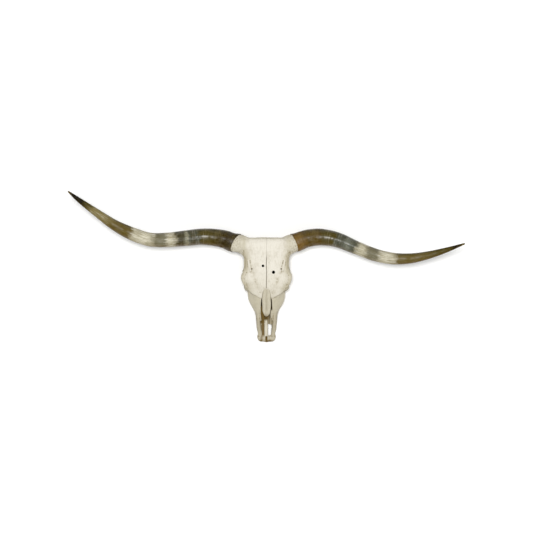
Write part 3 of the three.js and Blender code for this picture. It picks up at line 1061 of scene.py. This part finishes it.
def unevenness(length, near, turn):
    """How far the wall rises: rings and swellings near the rim, and faint ribs everywhere."""
    rings = noise.noise(Vector((length / RING_PITCH, 0.6 * turn.x, 0.6 * turn.y)))
    swellings = noise.noise(Vector((length / 38, 0.4 * turn.x, 3 + 0.4 * turn.y)))
    ribs = noise.noise(Vector((length / 70, 13 * turn.x, 13 * turn.y)))
    return 0.5 * near * rings + 0.9 * near * swellings + 0.22 * ribs


def sheath_wall(name):
    """The wall's points, their places along and across the fibres, how far back they face, and the lip."""
    middles, across, upward, radius, run = horn_line(name)
    index = np.arange(len(run))

    def at(values, spot):
        """The line's values at spots that may lie between its steps."""
        return np.column_stack([np.interp(spot, index, column) for column in values.T])

    points = np.empty((SHEATH_ROWS + 1, SHEATH_SIDES, 3))
    fibres = np.empty_like(points)
    edges_of = np.empty(points.shape[:2])
    lip = np.empty((2, SHEATH_SIDES, 3))
    for column in range(SHEATH_SIDES):
        angle = math.tau * column / SHEATH_SIDES
        outward = across * math.cos(angle) + upward * math.sin(angle)
        wall = middles + outward * radius[:, None]
        beyond = rim_distance(wall * (1, -1, 1) + (0, POLL_Y, 0), name)
        turn = Vector((math.cos(angle), math.sin(angle), 0))
        ragged = 2.2 * noise.noise(turn * 2.2) + 1.6 * noise.noise(turn * 9)
        first = np.interp(ragged, beyond[:NEAR_RIM], index[:NEAR_RIM])
        spots = np.linspace(first, index[-1], SHEATH_ROWS + 1)
        from_rim = np.interp(spots, index, run) - np.interp(first, index, run)
        growth = np.exp(-from_rim / RINGS_REACH)
        rise = [unevenness(length, near, turn) for length, near in zip(from_rim, growth)]
        centre = at(middles, spots)
        offset = at(outward, spots) * (np.interp(spots, index, radius) + np.array(rise))[:, None]
        even = np.interp(spots[-TIP_ROWS:], index, radius) / np.linalg.norm(offset[-TIP_ROWS:], axis=1)
        offset[-TIP_ROWS:] *= even[:, None]
        points[:, column] = centre + offset
        fibres[:, column] = np.column_stack([np.abs(centre[:, 0]), offset[:, 1:]])
        edges_of[:, column] = at(outward, spots)[:, 1]
        deeper = np.array([first, np.interp(run[round(first)] + LIP_DEPTH, run, index)])
        inner = np.interp(deeper, index, radius) - WALL
        lip[:, column] = at(middles, deeper) + at(outward, deeper) * inner[:, None]
    return points, fibres, edges_of, lip


# %% Tubes that take those places
def sheath(name):
    """One sheath: a tube whose points move to the wall, with a lip turned in at the rim."""
    points, fibres, edges_of, lip = sheath_wall(name)
    tube = bmesh.new()
    ends = {"radius1": 1, "radius2": 1, "depth": SHEATH_ROWS}
    bmesh.ops.create_cone(tube, cap_ends=False, segments=SHEATH_SIDES, **ends)
    lengthwise = [e for e in tube.edges if abs(e.verts[0].co.z - e.verts[1].co.z) > 0.5]
    bmesh.ops.subdivide_edges(tube, edges=lengthwise, cuts=SHEATH_ROWS - 1)
    columns = tube.verts.layers.int.new("column")
    fibre = tube.verts.layers.float_vector.new("fibre")
    edge_share = tube.verts.layers.float.new("edge")
    rim = []
    for vertex in tube.verts:
        row = round(vertex.co.z + SHEATH_ROWS / 2)
        column = round(math.atan2(vertex.co.y, vertex.co.x) / math.tau * SHEATH_SIDES) % SHEATH_SIDES
        vertex[columns] = column
        vertex[fibre] = fibres[row, column]
        vertex[edge_share] = edges_of[row, column]
        vertex.co = points[row, column]
        if row == 0:
            rim.append(vertex)
    edges = {edge for vertex in rim for edge in vertex.link_edges if edge.is_boundary}
    bmesh.ops.holes_fill(tube, edges=[edge for edge in tube.edges if edge.is_boundary and edge not in edges])
    for ring in lip:
        raised = bmesh.ops.extrude_edge_only(tube, edges=list(edges))["geom"]
        edges = {item for item in raised if isinstance(item, bmesh.types.BMEdge) and item.is_boundary}
        for vertex in {vertex for edge in edges for vertex in edge.verts}:
            vertex.co = ring[vertex[columns]]
    bmesh.ops.holes_fill(tube, edges=list(edges))
    bmesh.ops.recalc_face_normals(tube, faces=tube.faces)
    tube.verts.layers.int.remove(columns)
    return heap([tube])


sheaths = {name: sheath(name) for name in RIMS}
told(f"sheaths: {[len(mesh.polygons) for mesh in sheaths.values()]} faces")

# %% [markdown]
# ## Finishes
# Dry bone is a matt, slightly porous stone-like stuff. Sun bleaches what faces it to cream, and the
# sheltered parts stay tan, with brown where earth or old fat soaked in. Shade and light are painted in as
# well: painted shade in the hollows, where dust lies too, on the forehead's edges, in the slits beside the
# nose, on the nasal bones' sides and in the two round holes, and a painted highlight on the ridge over each
# socket. What follows a place on the skull is worked out here point by point and kept as attributes; what
# repeats everywhere is left to the nodes.

# %% Where each tone lies
PLATE_HALF = [(-10, 104), (40, 112), (84, 98), (104, 94), (148, 96), (166, 110), (184, 120), (206, 108)]
PLATE_HALF.append((235, 88))
PLATE_FRONT = [(0, 264), (14, 268), (25, 280), (39, 276), (60, 264), (81, 252), (97, 239), (120, 215)]
NOSE_ROOF = [(255, 124), (300, 112), (350, 92), (400, 64), (440, 50), (489, 36)]


def hollowness(mesh, rounds):
    """How hollow the surface is at each point, evened out over a number of steps to its neighbours."""
    points, normals = skin(mesh)
    pairs = np.empty(len(mesh.edges) * 2, int)
    mesh.edges.foreach_get("vertices", pairs)
    one, other = pairs.reshape(-1, 2).T
    count = np.maximum(np.bincount(pairs, minlength=len(points)), 1)

    def near(values):
        """The mean of the neighbours' values."""
        size = len(points)
        return (np.bincount(one, values[other], size) + np.bincount(other, values[one], size)) / count

    middle = np.column_stack([near(column) for column in points.T])
    hollow = np.clip(((middle - points) * normals).sum(axis=1), -0.12, 0.12)
    for _ in range(rounds):
        hollow = near(hollow)
    return hollow


def core_share(points):
    """1 on the horn cores, falling to 0 on the forehead."""
    return smoothstep(96, 116, np.abs(points[:, 0])) * smoothstep(92, 66, points[:, 1])


def brow_highlight_share(points, up):
    """1 on the ridge beside the groove over each socket, which is painted pale as a highlight."""
    above = np.column_stack([np.abs(points[:, 0]), points[:, 1]])
    return near_line(above, BROW_RIDGE, 3.4) * (up > 0.3) * (points[:, 2] > 120)


def rod_share(points, up):
    """1 on the pale rod between the two slots of the muzzle."""
    x, s = points[:, 0], points[:, 1]
    return between(x, (-12, -8.5), (9, 6)) * between(s, (376, 390), (470, 462)) * smoothstep(-0.2, 0.4, up)


def bleached_share(points, up, patchy):
    """How pale each point is: the sun-whitened plate, less on the cores, and the pale edges,
    with a painted highlight on the ridge over each socket.
    """
    x, s, z = points.T
    wide = np.abs(x)
    half = np.interp(s, *np.array(PLATE_HALF).T)
    front = np.interp(wide, *np.array(PLATE_FRONT).T)
    # The plate's cream fades over a wide band at its sides: partly the sun's whitening and partly painted
    # shade where the forehead turns down to the temples.
    plate = smoothstep(-8, 40, half - wide + 6 * patchy) * smoothstep(-3, 6, front - s + 2 * patchy)
    plate *= smoothstep(0.1, 0.85, up) * (z > 100) * (1 - 0.25 * smoothstep(140, 232, s))
    core = core_share(points)
    on_core = (0.32 + 0.2 * patchy) * core * smoothstep(-0.2, 0.6, up)
    muzzle_tip = 0.25 * between(s, (455, 462), (476, 468)) * (wide < 32) * smoothstep(0.3, 0.8, up)
    # The ridge over each socket is painted pale as a highlight.
    edges = [brow_highlight_share(points, up), 0.35 * rod_share(points, up), muzzle_tip]
    return np.maximum.reduce([plate * (1 - 0.7 * core), on_core, *edges])


# %% Brown stains, dark seams and painted shade in the nose's slits
def below_roof(points):
    """How far a point lies below the roof of the nose, in mm."""
    return np.interp(points[:, 1], *np.array(NOSE_ROOF).T) - points[:, 2]


def stain_share(points, normals, patchy):
    """How brown each point is: in the nose and the muzzle's slots, below, and in the brain's chamber."""
    x, s, z = points.T
    wide = np.abs(x)
    up = normals[:, 2]
    rods = rod_share(points, up)
    nose = (wide < 32) * between(s, (258, 268), (414, 396)) * smoothstep(3, 10, below_roof(points))
    nose *= smoothstep(40, 50, z) * np.where((x > 12) * (s > 330), 0.45, 1.0)
    depth = np.interp(s, [396, 428, 458], [54, 42, 36]) - z
    closed_slot = smoothstep(-1, 2.5, depth) * between(x, (-25, -22), (-9, -11)) * smoothstep(459, 452, s)
    open_slot = (x > 9.5) * smoothstep(0.85, 0.3, np.abs(up))
    slots = (closed_slot + open_slot) * (up > -0.2) * (wide < 26) * (s > 392) * (s < 459)
    fissure = smoothstep(6.5, 4, np.abs(x + 0.5)) * between(s, (458, 463), (484, 481)) * (up > -0.2)
    rim = 0.3 * smoothstep(472, 485, s) + 0.3 * smoothstep(0.6, 0.1, up) * smoothstep(330, 380, s)
    rim += 0.5 * np.clip(patchy, 0, 1) * smoothstep(448, 466, s) + 0.2 * smoothstep(320, 380, s) * (1 - rods)
    palate = smoothstep(40, 22, z) * between(s, (180, 200), (350, 325))
    under = 0.3 * (smoothstep(-0.1, -0.6, up) + palate) * (0.75 + 0.5 * patchy)
    chamber = smoothstep(26, 22, wide) * (s < 92) * smoothstep(8, 24, s) * (z > 42) * (z < 94)
    chamber *= smoothstep(0.3, -0.1, normals[:, 1])
    foramen = 0.8 * smoothstep(5, 2.5, np.hypot(wide - 68, s - 144)) * (z > 120)
    brown = [nose * (1 - rods), slots * np.where(x < 0, 0.85, 0.2), fissure, rim, under, chamber, foramen]
    return np.maximum.reduce(brown)


def dark_share(points, normals):
    """How dark each point is: dirt in the sutures and between the teeth, and painted shade in the nose's
    slits.
    """
    x, s, z = points.T
    wide = np.abs(x)
    up = normals[:, 2]
    above = np.column_stack([wide, s])
    patches = np.clip(0.6 + 0.6 * grain(points, 14, 8), 0, 1)
    edge = fading(distance(above, PLATE_EDGE), 1.7) * (up > 0.1) * (z > 88) * (wide > 24)
    groove = near_line(above, SUPRAORBITAL, 2.2) * (up > 0.3) * (z > 120)
    to_gap = np.abs(s[:, None] - TOOTH_ENDS).min(axis=1)
    # The slits beside the nose are painted dark where they open into the nose: painted shade.
    slit = (np.abs(wide - 22) < 7) * between(s, (264, 272), (330, 312))
    slit = slit * smoothstep(1, 7, below_roof(points))
    dark = [
        0.3 * seam_share(points, normals),
        (0.25 + 0.75 * gaping(s)) * metopic_share(points, normals),
        edge * patches * np.where(x > 0, 0.6, 0.35),
        0.3 * groove * patches,
        0.8 * fading(to_gap, 0.9) * smoothstep(26, 22, z) * (wide > 28) * (wide < 66),
        slit * smoothstep(48, 60, z),
    ]
    return np.maximum.reduce(dark)


# %% All the tones of a bone
def painted_shade_share(points, up, patchy):
    """How much painted shade lies on the hollows of the brow, the temple's edge, the temporal line and the
    trough.
    """
    x, s, z = points.T
    wide = np.abs(x)
    above = np.column_stack([wide, s])
    # Painted shade where the forehead turns down to the temples and round the front of each socket.
    worn = 0.45 * smoothstep(72, 94, wide) * between(s, (204, 218), (262, 244)) * (1.2 + patchy)
    worn += 0.3 * smoothstep(74, 98, wide) * between(s, (70, 92), (164, 144)) * (wide < 112)
    worn += 0.35 * near_line(above, TEMPORAL_LINE, 5) * (1 - brow_highlight_share(points, up))
    worn += 0.2 * near_line(above, BROW_TROUGH, 11) * (1 + patchy)
    return worn * (z > 88) * smoothstep(-0.2, 0.3, up)


def tones(points, normals, nasal=False):
    """How much of each finish a point of bone has, from 0 to 1."""
    x, s, z = points.T
    wide = np.abs(x)
    up = normals[:, 2]
    if nasal:
        streaks = smoothstep(0.1, 0.8, grain(points * (1, 0.06, 0), 2.6, 14))
        shares = {
            "bleached_and_highlit": 0.12 * smoothstep(0.6, 0.95, up),
            "stain": 0.8 * smoothstep(0.1, -0.3, up) + 0.35 * smoothstep(348, 364, s),
            # On the nasal bones: the midline suture, lengthwise streaks, and painted shade on the sides that
            # turn down.
            "seam": 0.15 * fading(x, 1.6) + 0.6 * smoothstep(0.6, 0.1, up) + 0.28 * streaks,
            "crease": np.zeros(len(points)),
        }
    else:
        patchy = grain(points, 12, 7)
        shares = {
            "bleached_and_highlit": bleached_share(points, up, patchy),
            "stain": stain_share(points, normals, patchy),
            "seam": dark_share(points, normals),
            "crease": painted_shade_share(points, up, patchy),
        }
    back_wall = smoothstep(0.2, 0.7, normals[:, 1]) * (s < 70)
    shares["pits"] = 0.15 + 0.85 * np.maximum(core_share(points), back_wall)
    shares["tooth"] = smoothstep(25, 19, z) * (s > 195) * (s < 330) * (wide > 26) * (wide < 65)
    return shares


print("tones: bleached, stain, seam, pits, tooth, crease")


# %% Sizes for patterns
def per_metre(size):
    """A pattern's scale on Object coordinates for marks of this size in mm."""
    return 1 / (size * MM)


def layered(tree, guides, paint, layers):
    """The colour under layers of (guide, where it starts, where it is full, limit, strength, colour)."""
    for guide, start, full, limit, strength, tone in layers:
        ranges = {"Value": guides[guide], "From Min": start, "From Max": full, "To Max": strength}
        share = add(tree, "MapRange", ranges).outputs[0]
        if limit:
            share = add(tree, "Math", {0: share, 1: guides[limit]}, operation="MULTIPLY").outputs[0]
        paint = add(tree, "Mix", {0: share, 6: paint, 7: colour(tone)}, data_type="RGBA").outputs[2]
    return paint


# %% Dry bone
# Cream where the sun has whitened it, tan elsewhere, and matt; pores and sutures hold dirt, and the
# hollows are darkened, partly as dust and partly as painted shade, so no part is even.
BLEACHED = 0xD8D3C6
TAN = 0xBDB6A0
# Greyish brown for dust and mottling, and for the painted shade in the hollows.
DUST_AND_SHADE_TONE = 0x948868
BROWN = 0x604A10
# Dark brown for the sutures and the gaps between the teeth, and for painted shade in the nose's slits and on
# the nasal bones' sides.
CRACK_AND_SHADE = 0x4A3A1C
ENAMEL = 0xD2C8AC
# Near black: painted shade inside the two round holes.
HOLE_SHADE = 0x020201
PORE = 2.6  # mm, drawn three times as coarse as real pores so that they show

bone_paint, shader = material("dry bleached bone")
tree = bone_paint.node_tree
spot = add(tree, "TexCoord", {}).outputs["Object"]
lengthwise = add(tree, "Mapping", {"Vector": spot, "Scale": (1, 0.12, 1)}).outputs[0]
guides = {}
for name in ("bleached_and_highlit", "stain", "seam", "pits", "tooth", "crease"):
    guides[name] = add(tree, "Attribute", {}, attribute_name=name).outputs["Fac"]
for name, vector, size in (("mottle", spot, 40), ("speckle", spot, 7), ("fibre", lengthwise, 4.5)):
    marks = {"Vector": vector, "Scale": per_metre(size), "Detail": 4.0, "Roughness": 0.65}
    guides[name] = add(tree, "TexNoise", marks).outputs[0]
pores = add(tree, "TexVoronoi", {"Vector": spot, "Scale": per_metre(PORE)}).outputs["Distance"]
depth = add(tree, "MapRange", {"Value": pores, "From Min": 0.36, "From Max": 0.1}).outputs[0]
guides["pore"] = add(tree, "Math", {0: depth, 1: guides["pits"]}, operation="MULTIPLY").outputs[0]

# The two holes are painted near black by their distance from each hole's axis, so that their edges
# stay crisp: painted shade inside the holes, where the specular is turned off too.
from_above = add(tree, "VectorMath", {0: spot, 1: (1, 1, 0)}, operation="MULTIPLY").outputs[0]
guides["shot"] = 0.0
for hole_x, hole_s, radius in SHOT_HOLES:
    axis = place(hole_x, hole_s, 0) * MM
    away = add(tree, "VectorMath", {0: from_above, 1: axis}, operation="DISTANCE").outputs["Value"]
    ranges = {"Value": away, "From Min": (radius + 0.3) * MM, "From Max": (radius + 0.1) * MM}
    inside = add(tree, "MapRange", ranges).outputs[0]
    guides["shot"] = add(tree, "Math", {0: inside, 1: guides["shot"]}, operation="MAXIMUM").outputs[0]
height_above = add(tree, "SeparateXYZ", {0: spot}).outputs[2]
above_floor = {0: height_above, 1: (SHOT_FLOOR - 1) * MM}
above_floor = add(tree, "Math", above_floor, operation="GREATER_THAN").outputs[0]
guides["shot"] = add(tree, "Math", {0: guides["shot"], 1: above_floor}, operation="MULTIPLY").outputs[0]
ranges = {"Value": guides["shot"], "To Min": 0.5, "To Max": 0.0}
tree.links.new(add(tree, "MapRange", ranges).outputs[0], shader.inputs["Specular IOR Level"])

BONE_LAYERS = [
    ("bleached_and_highlit", 0, 1, None, 1, BLEACHED),
    ("mottle", 0.5, 0.8, None, 0.35, DUST_AND_SHADE_TONE),
    ("fibre", 0.5, 0.76, None, 0.4, DUST_AND_SHADE_TONE),
    ("speckle", 0.52, 0.8, "pits", 0.6, DUST_AND_SHADE_TONE),
    # The next two layers darken the hollows and the forehead's edges: partly dust, partly painted shade.
    ("crease", 0, 1, None, 0.6, DUST_AND_SHADE_TONE),
    ("crease", 0.5, 1, "speckle", 0.7, BROWN),
    ("tooth", 0, 1, None, 1, ENAMEL),
    ("stain", 0, 0.9, None, 1, BROWN),
    ("pore", 0, 1, None, 0.55, BROWN),
    ("seam", 0, 1, None, 1, CRACK_AND_SHADE),
    # The round holes' near black is painted shade.
    ("shot", 0, 1, None, 1, HOLE_SHADE),
]
paint = layered(tree, guides, colour(TAN), BONE_LAYERS)
tree.links.new(paint, shader.inputs["Base Color"])
ranges = {"Value": guides["speckle"], "From Min": 0.3, "From Max": 0.7, "To Min": 0.58, "To Max": 0.78}
tree.links.new(add(tree, "MapRange", ranges).outputs[0], shader.inputs["Roughness"])
shader.inputs["IOR"].default_value = 1.5
height = 0.0
for guide, weight in (("speckle", 0.5), ("fibre", 0.4), ("pore", -0.8)):
    weighed = {0: guides[guide], 1: weight, 2: height}
    height = add(tree, "Math", weighed, operation="MULTIPLY_ADD").outputs[0]
bump = add(tree, "Bump", {"Height": height, "Strength": 0.6, "Distance": 0.8 * MM})
tree.links.new(bump.outputs[0], shader.inputs["Normal"])
print("bone:", len(tree.nodes), "nodes")

# %% [markdown]
# ### Horn
# Horn is keratin, the stuff of hooves: half polished, a little see-through, and built of fibres that run
# from rim to tip. Its bands of olive, slate and cream are layers grown at different times, so they end in
# jagged tongues along the fibres. A ramp along each horn holds its bands, noise stretched along the fibres
# pulls their edges about, and thin layers over it add streaks, flecks, rings and darker sides; the darker
# sides are painted shade. The right horn's paler olive stretch is a painted highlight, and the left horn's
# blue grey partly one.

# %% The bands, by how far out from the midline they lie, in mm
HORN_TONES = {
    "amber": 0x6A4E1A,
    "brown": 0x4E3C12,
    "dark brown": 0x2D2001,
    "olive": 0x463C12,
    "tan olive": 0x5C4E22,
    "highlit olive": 0x776B40,
    "slate": 0x444538,
    "dark slate": 0x3E3924,
    "grey": 0x6A6650,
    "ash": 0x84826C,
    "blue grey": 0x5F6358,
    "cream": 0xB4AE96,
    "white": 0xCCC7B1,
    "black brown": 0x0E0902,
    "gold": 0x544412,
}
HORN_BANDS = {
    "right": [
        (150, "dark brown"), (205, "dark brown"), (250, "olive"), (300, "olive"), (320, "slate"),
        (344, "dark slate"), (362, "slate"), (372, "ash"), (390, "dark slate"), (414, "dark slate"),
        (440, "cream"), (454, "cream"), (474, "grey"), (512, "grey"), (544, "cream"), (562, "white"),
        # The paler olive from 745 to 795 mm is a painted highlight.
        (590, "cream"), (618, "cream"), (634, "tan olive"), (700, "tan olive"), (745, "highlit olive"),
        (795, "highlit olive"), (820, "olive"), (842, "black brown"), (890, "black brown"), (905, "gold"),
    ],
    "left": [
        (130, "amber"), (160, "amber"), (186, "brown"), (245, "brown"), (262, "olive"), (312, "olive"),
        # The blue grey near 380 mm is slate lightened where its highlight falls: partly a painted highlight.
        (326, "slate"), (354, "slate"), (380, "blue grey"), (410, "slate"), (429, "cream"),
        (450, "cream"), (474, "grey"), (508, "grey"), (535, "cream"), (560, "white"), (578, "cream"),
        (608, "tan olive"), (720, "tan olive"), (790, "olive"), (835, "olive"), (862, "black brown"),
        (884, "dark brown"), (897, "gold"),
    ],
}
HORN_REACH = 950  # mm that the ramp spans
MARKS = {  # the size of each pattern's marks in mm, along the horn and across it
    "streak": (60, 2.8),
    "fleck": (15, 3.5),
    "tongue": (34, 20),
    "rings": (6, 80),
}
# The marks over the bands, each kept to the dark bands, the pale ones or a stretch of the horn.
HORN_LAYERS = [
    # The edge layers colour the horn's sides, where the wall turns away from the lamp: the back side is
    # darkened as painted shade, and the front side turns amber on the dark bands and brown on the pale ones,
    # partly as painted shade.
    ("edge", -0.45, -0.95, "dark", 0.45, 0x5E430C),
    ("edge", 0.45, 0.98, "dark", 0.55, 0x27210D),
    ("edge", -0.5, -1, "pale", 0.7, 0x7A6A3A),
    ("edge", 0.55, 1, "pale", 0.5, 0x6F6745),
    ("streak", 0.48, 0.66, "dark", 0.26, 0x2A2008),
    ("streak", 0.46, 0.3, "dark", 0.16, 0x8F8662),
    ("fleck", 0.5, 0.68, "dark", 0.2, 0x80764E),
    ("streak", 0.5, 0.64, "pale", 0.6, 0x76694A),
    ("tongue", 0.5, 0.7, "pale", 0.5, 0x7E7354),
    ("fleck", 0.54, 0.66, "pale", 0.5, 0x6C5C30),
    ("streak", 0.46, 0.34, "pale", 0.75, 0xDEDACC),
    ("rings", 0.56, 0.7, "grey zone", 0.3, 0xA9A898),
    ("rings", 0.53, 0.68, "near rim", 0.3, 0x80733C),
    ("rings", 0.47, 0.32, "near rim", 0.3, 0x241B06),
]


# %% What guides the horn's marks
def horn_patterns(tree):
    """The reach from the midline, how far back the wall faces, and one noise for each kind of mark."""
    on_horn = add(tree, "Attribute", {}, attribute_name="fibre").outputs["Vector"]
    guides = {"reach": add(tree, "SeparateXYZ", {0: on_horn}).outputs[0]}
    guides["edge"] = add(tree, "Attribute", {}, attribute_name="edge").outputs["Fac"]
    for marks, (length, width) in MARKS.items():
        scaled = add(tree, "Mapping", {"Vector": on_horn, "Scale": (1 / length, 1 / width, 1 / width)})
        pattern = {"Vector": scaled.outputs[0], "Scale": 1.0, "Detail": 4.0, "Roughness": 0.6}
        guides[marks] = add(tree, "TexNoise", pattern).outputs[0]
    return guides


def banded(tree, name, guides):
    """The colour of the bands, whose edges the tongues and the streaks pull about."""
    pulled = guides["reach"]
    for marks, pull in (("tongue", 30), ("streak", 12)):
        ranges = {"Value": guides[marks], "From Min": 0.25, "From Max": 0.75}
        ranges.update({"To Min": -pull / 2, "To Max": pull / 2})
        offset = add(tree, "MapRange", ranges).outputs[0]
        pulled = add(tree, "Math", {0: pulled, 1: offset}, operation="ADD").outputs[0]
    along = add(tree, "Math", {0: pulled, 1: HORN_REACH}, operation="DIVIDE").outputs[0]
    ramp = add(tree, "ValToRGB", {0: along})
    stops = ramp.color_ramp.elements
    stops.remove(stops[1])
    for index, (at_reach, tone) in enumerate(HORN_BANDS[name]):
        stop = stops[0] if index == 0 else stops.new(at_reach / HORN_REACH)
        stop.position = at_reach / HORN_REACH
        stop.color = colour(HORN_TONES[tone])
    return ramp.outputs[0]


def horn_limits(tree, guides, paint):
    """Adds what keeps a mark to the pale or the dark bands, the rim's side or the grey zone."""
    pale = add(tree, "RGBToBW", {0: paint}).outputs[0]
    for limit, value, start, full in (
        ("pale", pale, 0.09, 0.24),
        ("dark", pale, 0.35, 0.1),
        ("near rim", guides["reach"], 330, 260),
    ):
        ranges = {"Value": value, "From Min": start, "From Max": full}
        guides[limit] = add(tree, "MapRange", ranges).outputs[0]
    inwards = {"Value": guides["reach"], "From Min": 470, "From Max": 430}
    outwards = {"Value": guides["reach"], "From Min": 240, "From Max": 300}
    ends = [add(tree, "MapRange", zone).outputs[0] for zone in (inwards, outwards)]
    guides["grey zone"] = add(tree, "Math", {0: ends[0], 1: ends[1]}, operation="MULTIPLY").outputs[0]


# %% Half-polished horn
# Keratin laid down in layers and rubbed half smooth: streaks along the fibres and a soft, patchy gloss.
def horn_paint(name):
    """Streaked keratin for one sheath."""
    made, shader = material(f"half-polished horn {name}")
    tree = made.node_tree
    guides = horn_patterns(tree)
    paint = banded(tree, name, guides)
    horn_limits(tree, guides, paint)
    paint = layered(tree, guides, paint, HORN_LAYERS)
    tree.links.new(paint, shader.inputs["Base Color"])
    ranges = {"Value": guides["grey zone"], "To Min": 0.44, "To Max": 0.28}
    tree.links.new(add(tree, "MapRange", ranges).outputs[0], shader.inputs["Roughness"])
    shader.inputs["IOR"].default_value = 1.54
    patches = {"Value": guides["tongue"], "From Min": 0.38, "From Max": 0.62}
    patches.update({"To Min": 0.03, "To Max": 0.34})
    duller = {"Value": guides["reach"], "From Min": 620, "From Max": 860}
    duller.update({"To Min": 1.0, "To Max": 0.2})
    polish = [add(tree, "MapRange", zone).outputs[0] for zone in (patches, duller)]
    polish = add(tree, "Math", {0: polish[0], 1: polish[1]}, operation="MULTIPLY")
    tree.links.new(polish.outputs[0], shader.inputs["Specular IOR Level"])
    height = add(tree, "Math", {0: guides["streak"], 1: 0.5, 2: 0.0}, operation="MULTIPLY_ADD").outputs[0]
    ringed = {0: guides["rings"], 1: guides["near rim"], 2: height}
    height = add(tree, "Math", ringed, operation="MULTIPLY_ADD").outputs[0]
    bump = add(tree, "Bump", {"Height": height, "Strength": 0.4, "Distance": 0.6 * MM})
    tree.links.new(bump.outputs[0], shader.inputs["Normal"])
    print(name, "horn:", len(tree.nodes), "nodes")
    return made


horn_paints = {name: horn_paint(name) for name in RIMS}

# %% [markdown]
# ## The finished pieces
# Each piece goes from millimetres to metres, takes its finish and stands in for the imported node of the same
# name. Its object stays at the origin, with its place in its mesh.

# %% Making the pieces
SHARP = math.radians(42)


def finished(name, mesh, paint):
    """A finished piece in metres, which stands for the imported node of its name."""
    mesh.transform(Matrix.Scale(MM, 4))
    mesh.materials.clear()
    mesh.materials.append(paint)
    mesh.shade_smooth()
    mesh.set_sharp_from_angle(angle=SHARP)
    piece = put(f"{name}_look", mesh)
    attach(piece, "root")
    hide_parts(name)


for name, mesh in bones.items():
    shares = tones(*surface(mesh), name.startswith("nasal"))
    # Painted shade: each point darkens with how hollow the surface is round it, on a fine and a broad scale,
    # as ambient occlusion darkens it; in the fine grooves it stands for dust as well.
    fine, broad = hollowness(mesh, 4), hollowness(mesh, 40)
    hollow = smoothstep(0.004, 0.05, fine) + 0.7 * smoothstep(0.003, 0.03, broad)
    shares["crease"] = np.clip(shares["crease"] + hollow, 0, 1)
    for tone, share in shares.items():
        mesh.attributes.new(tone, "FLOAT", "POINT").data.foreach_set("value", share.astype(np.float32))
    finished(name, mesh, bone_paint)
for name, mesh in sheaths.items():
    finished(f"horn_sheath_{name}", mesh, horn_paints[name])
told(f"{len(bones) + len(sheaths)} pieces")
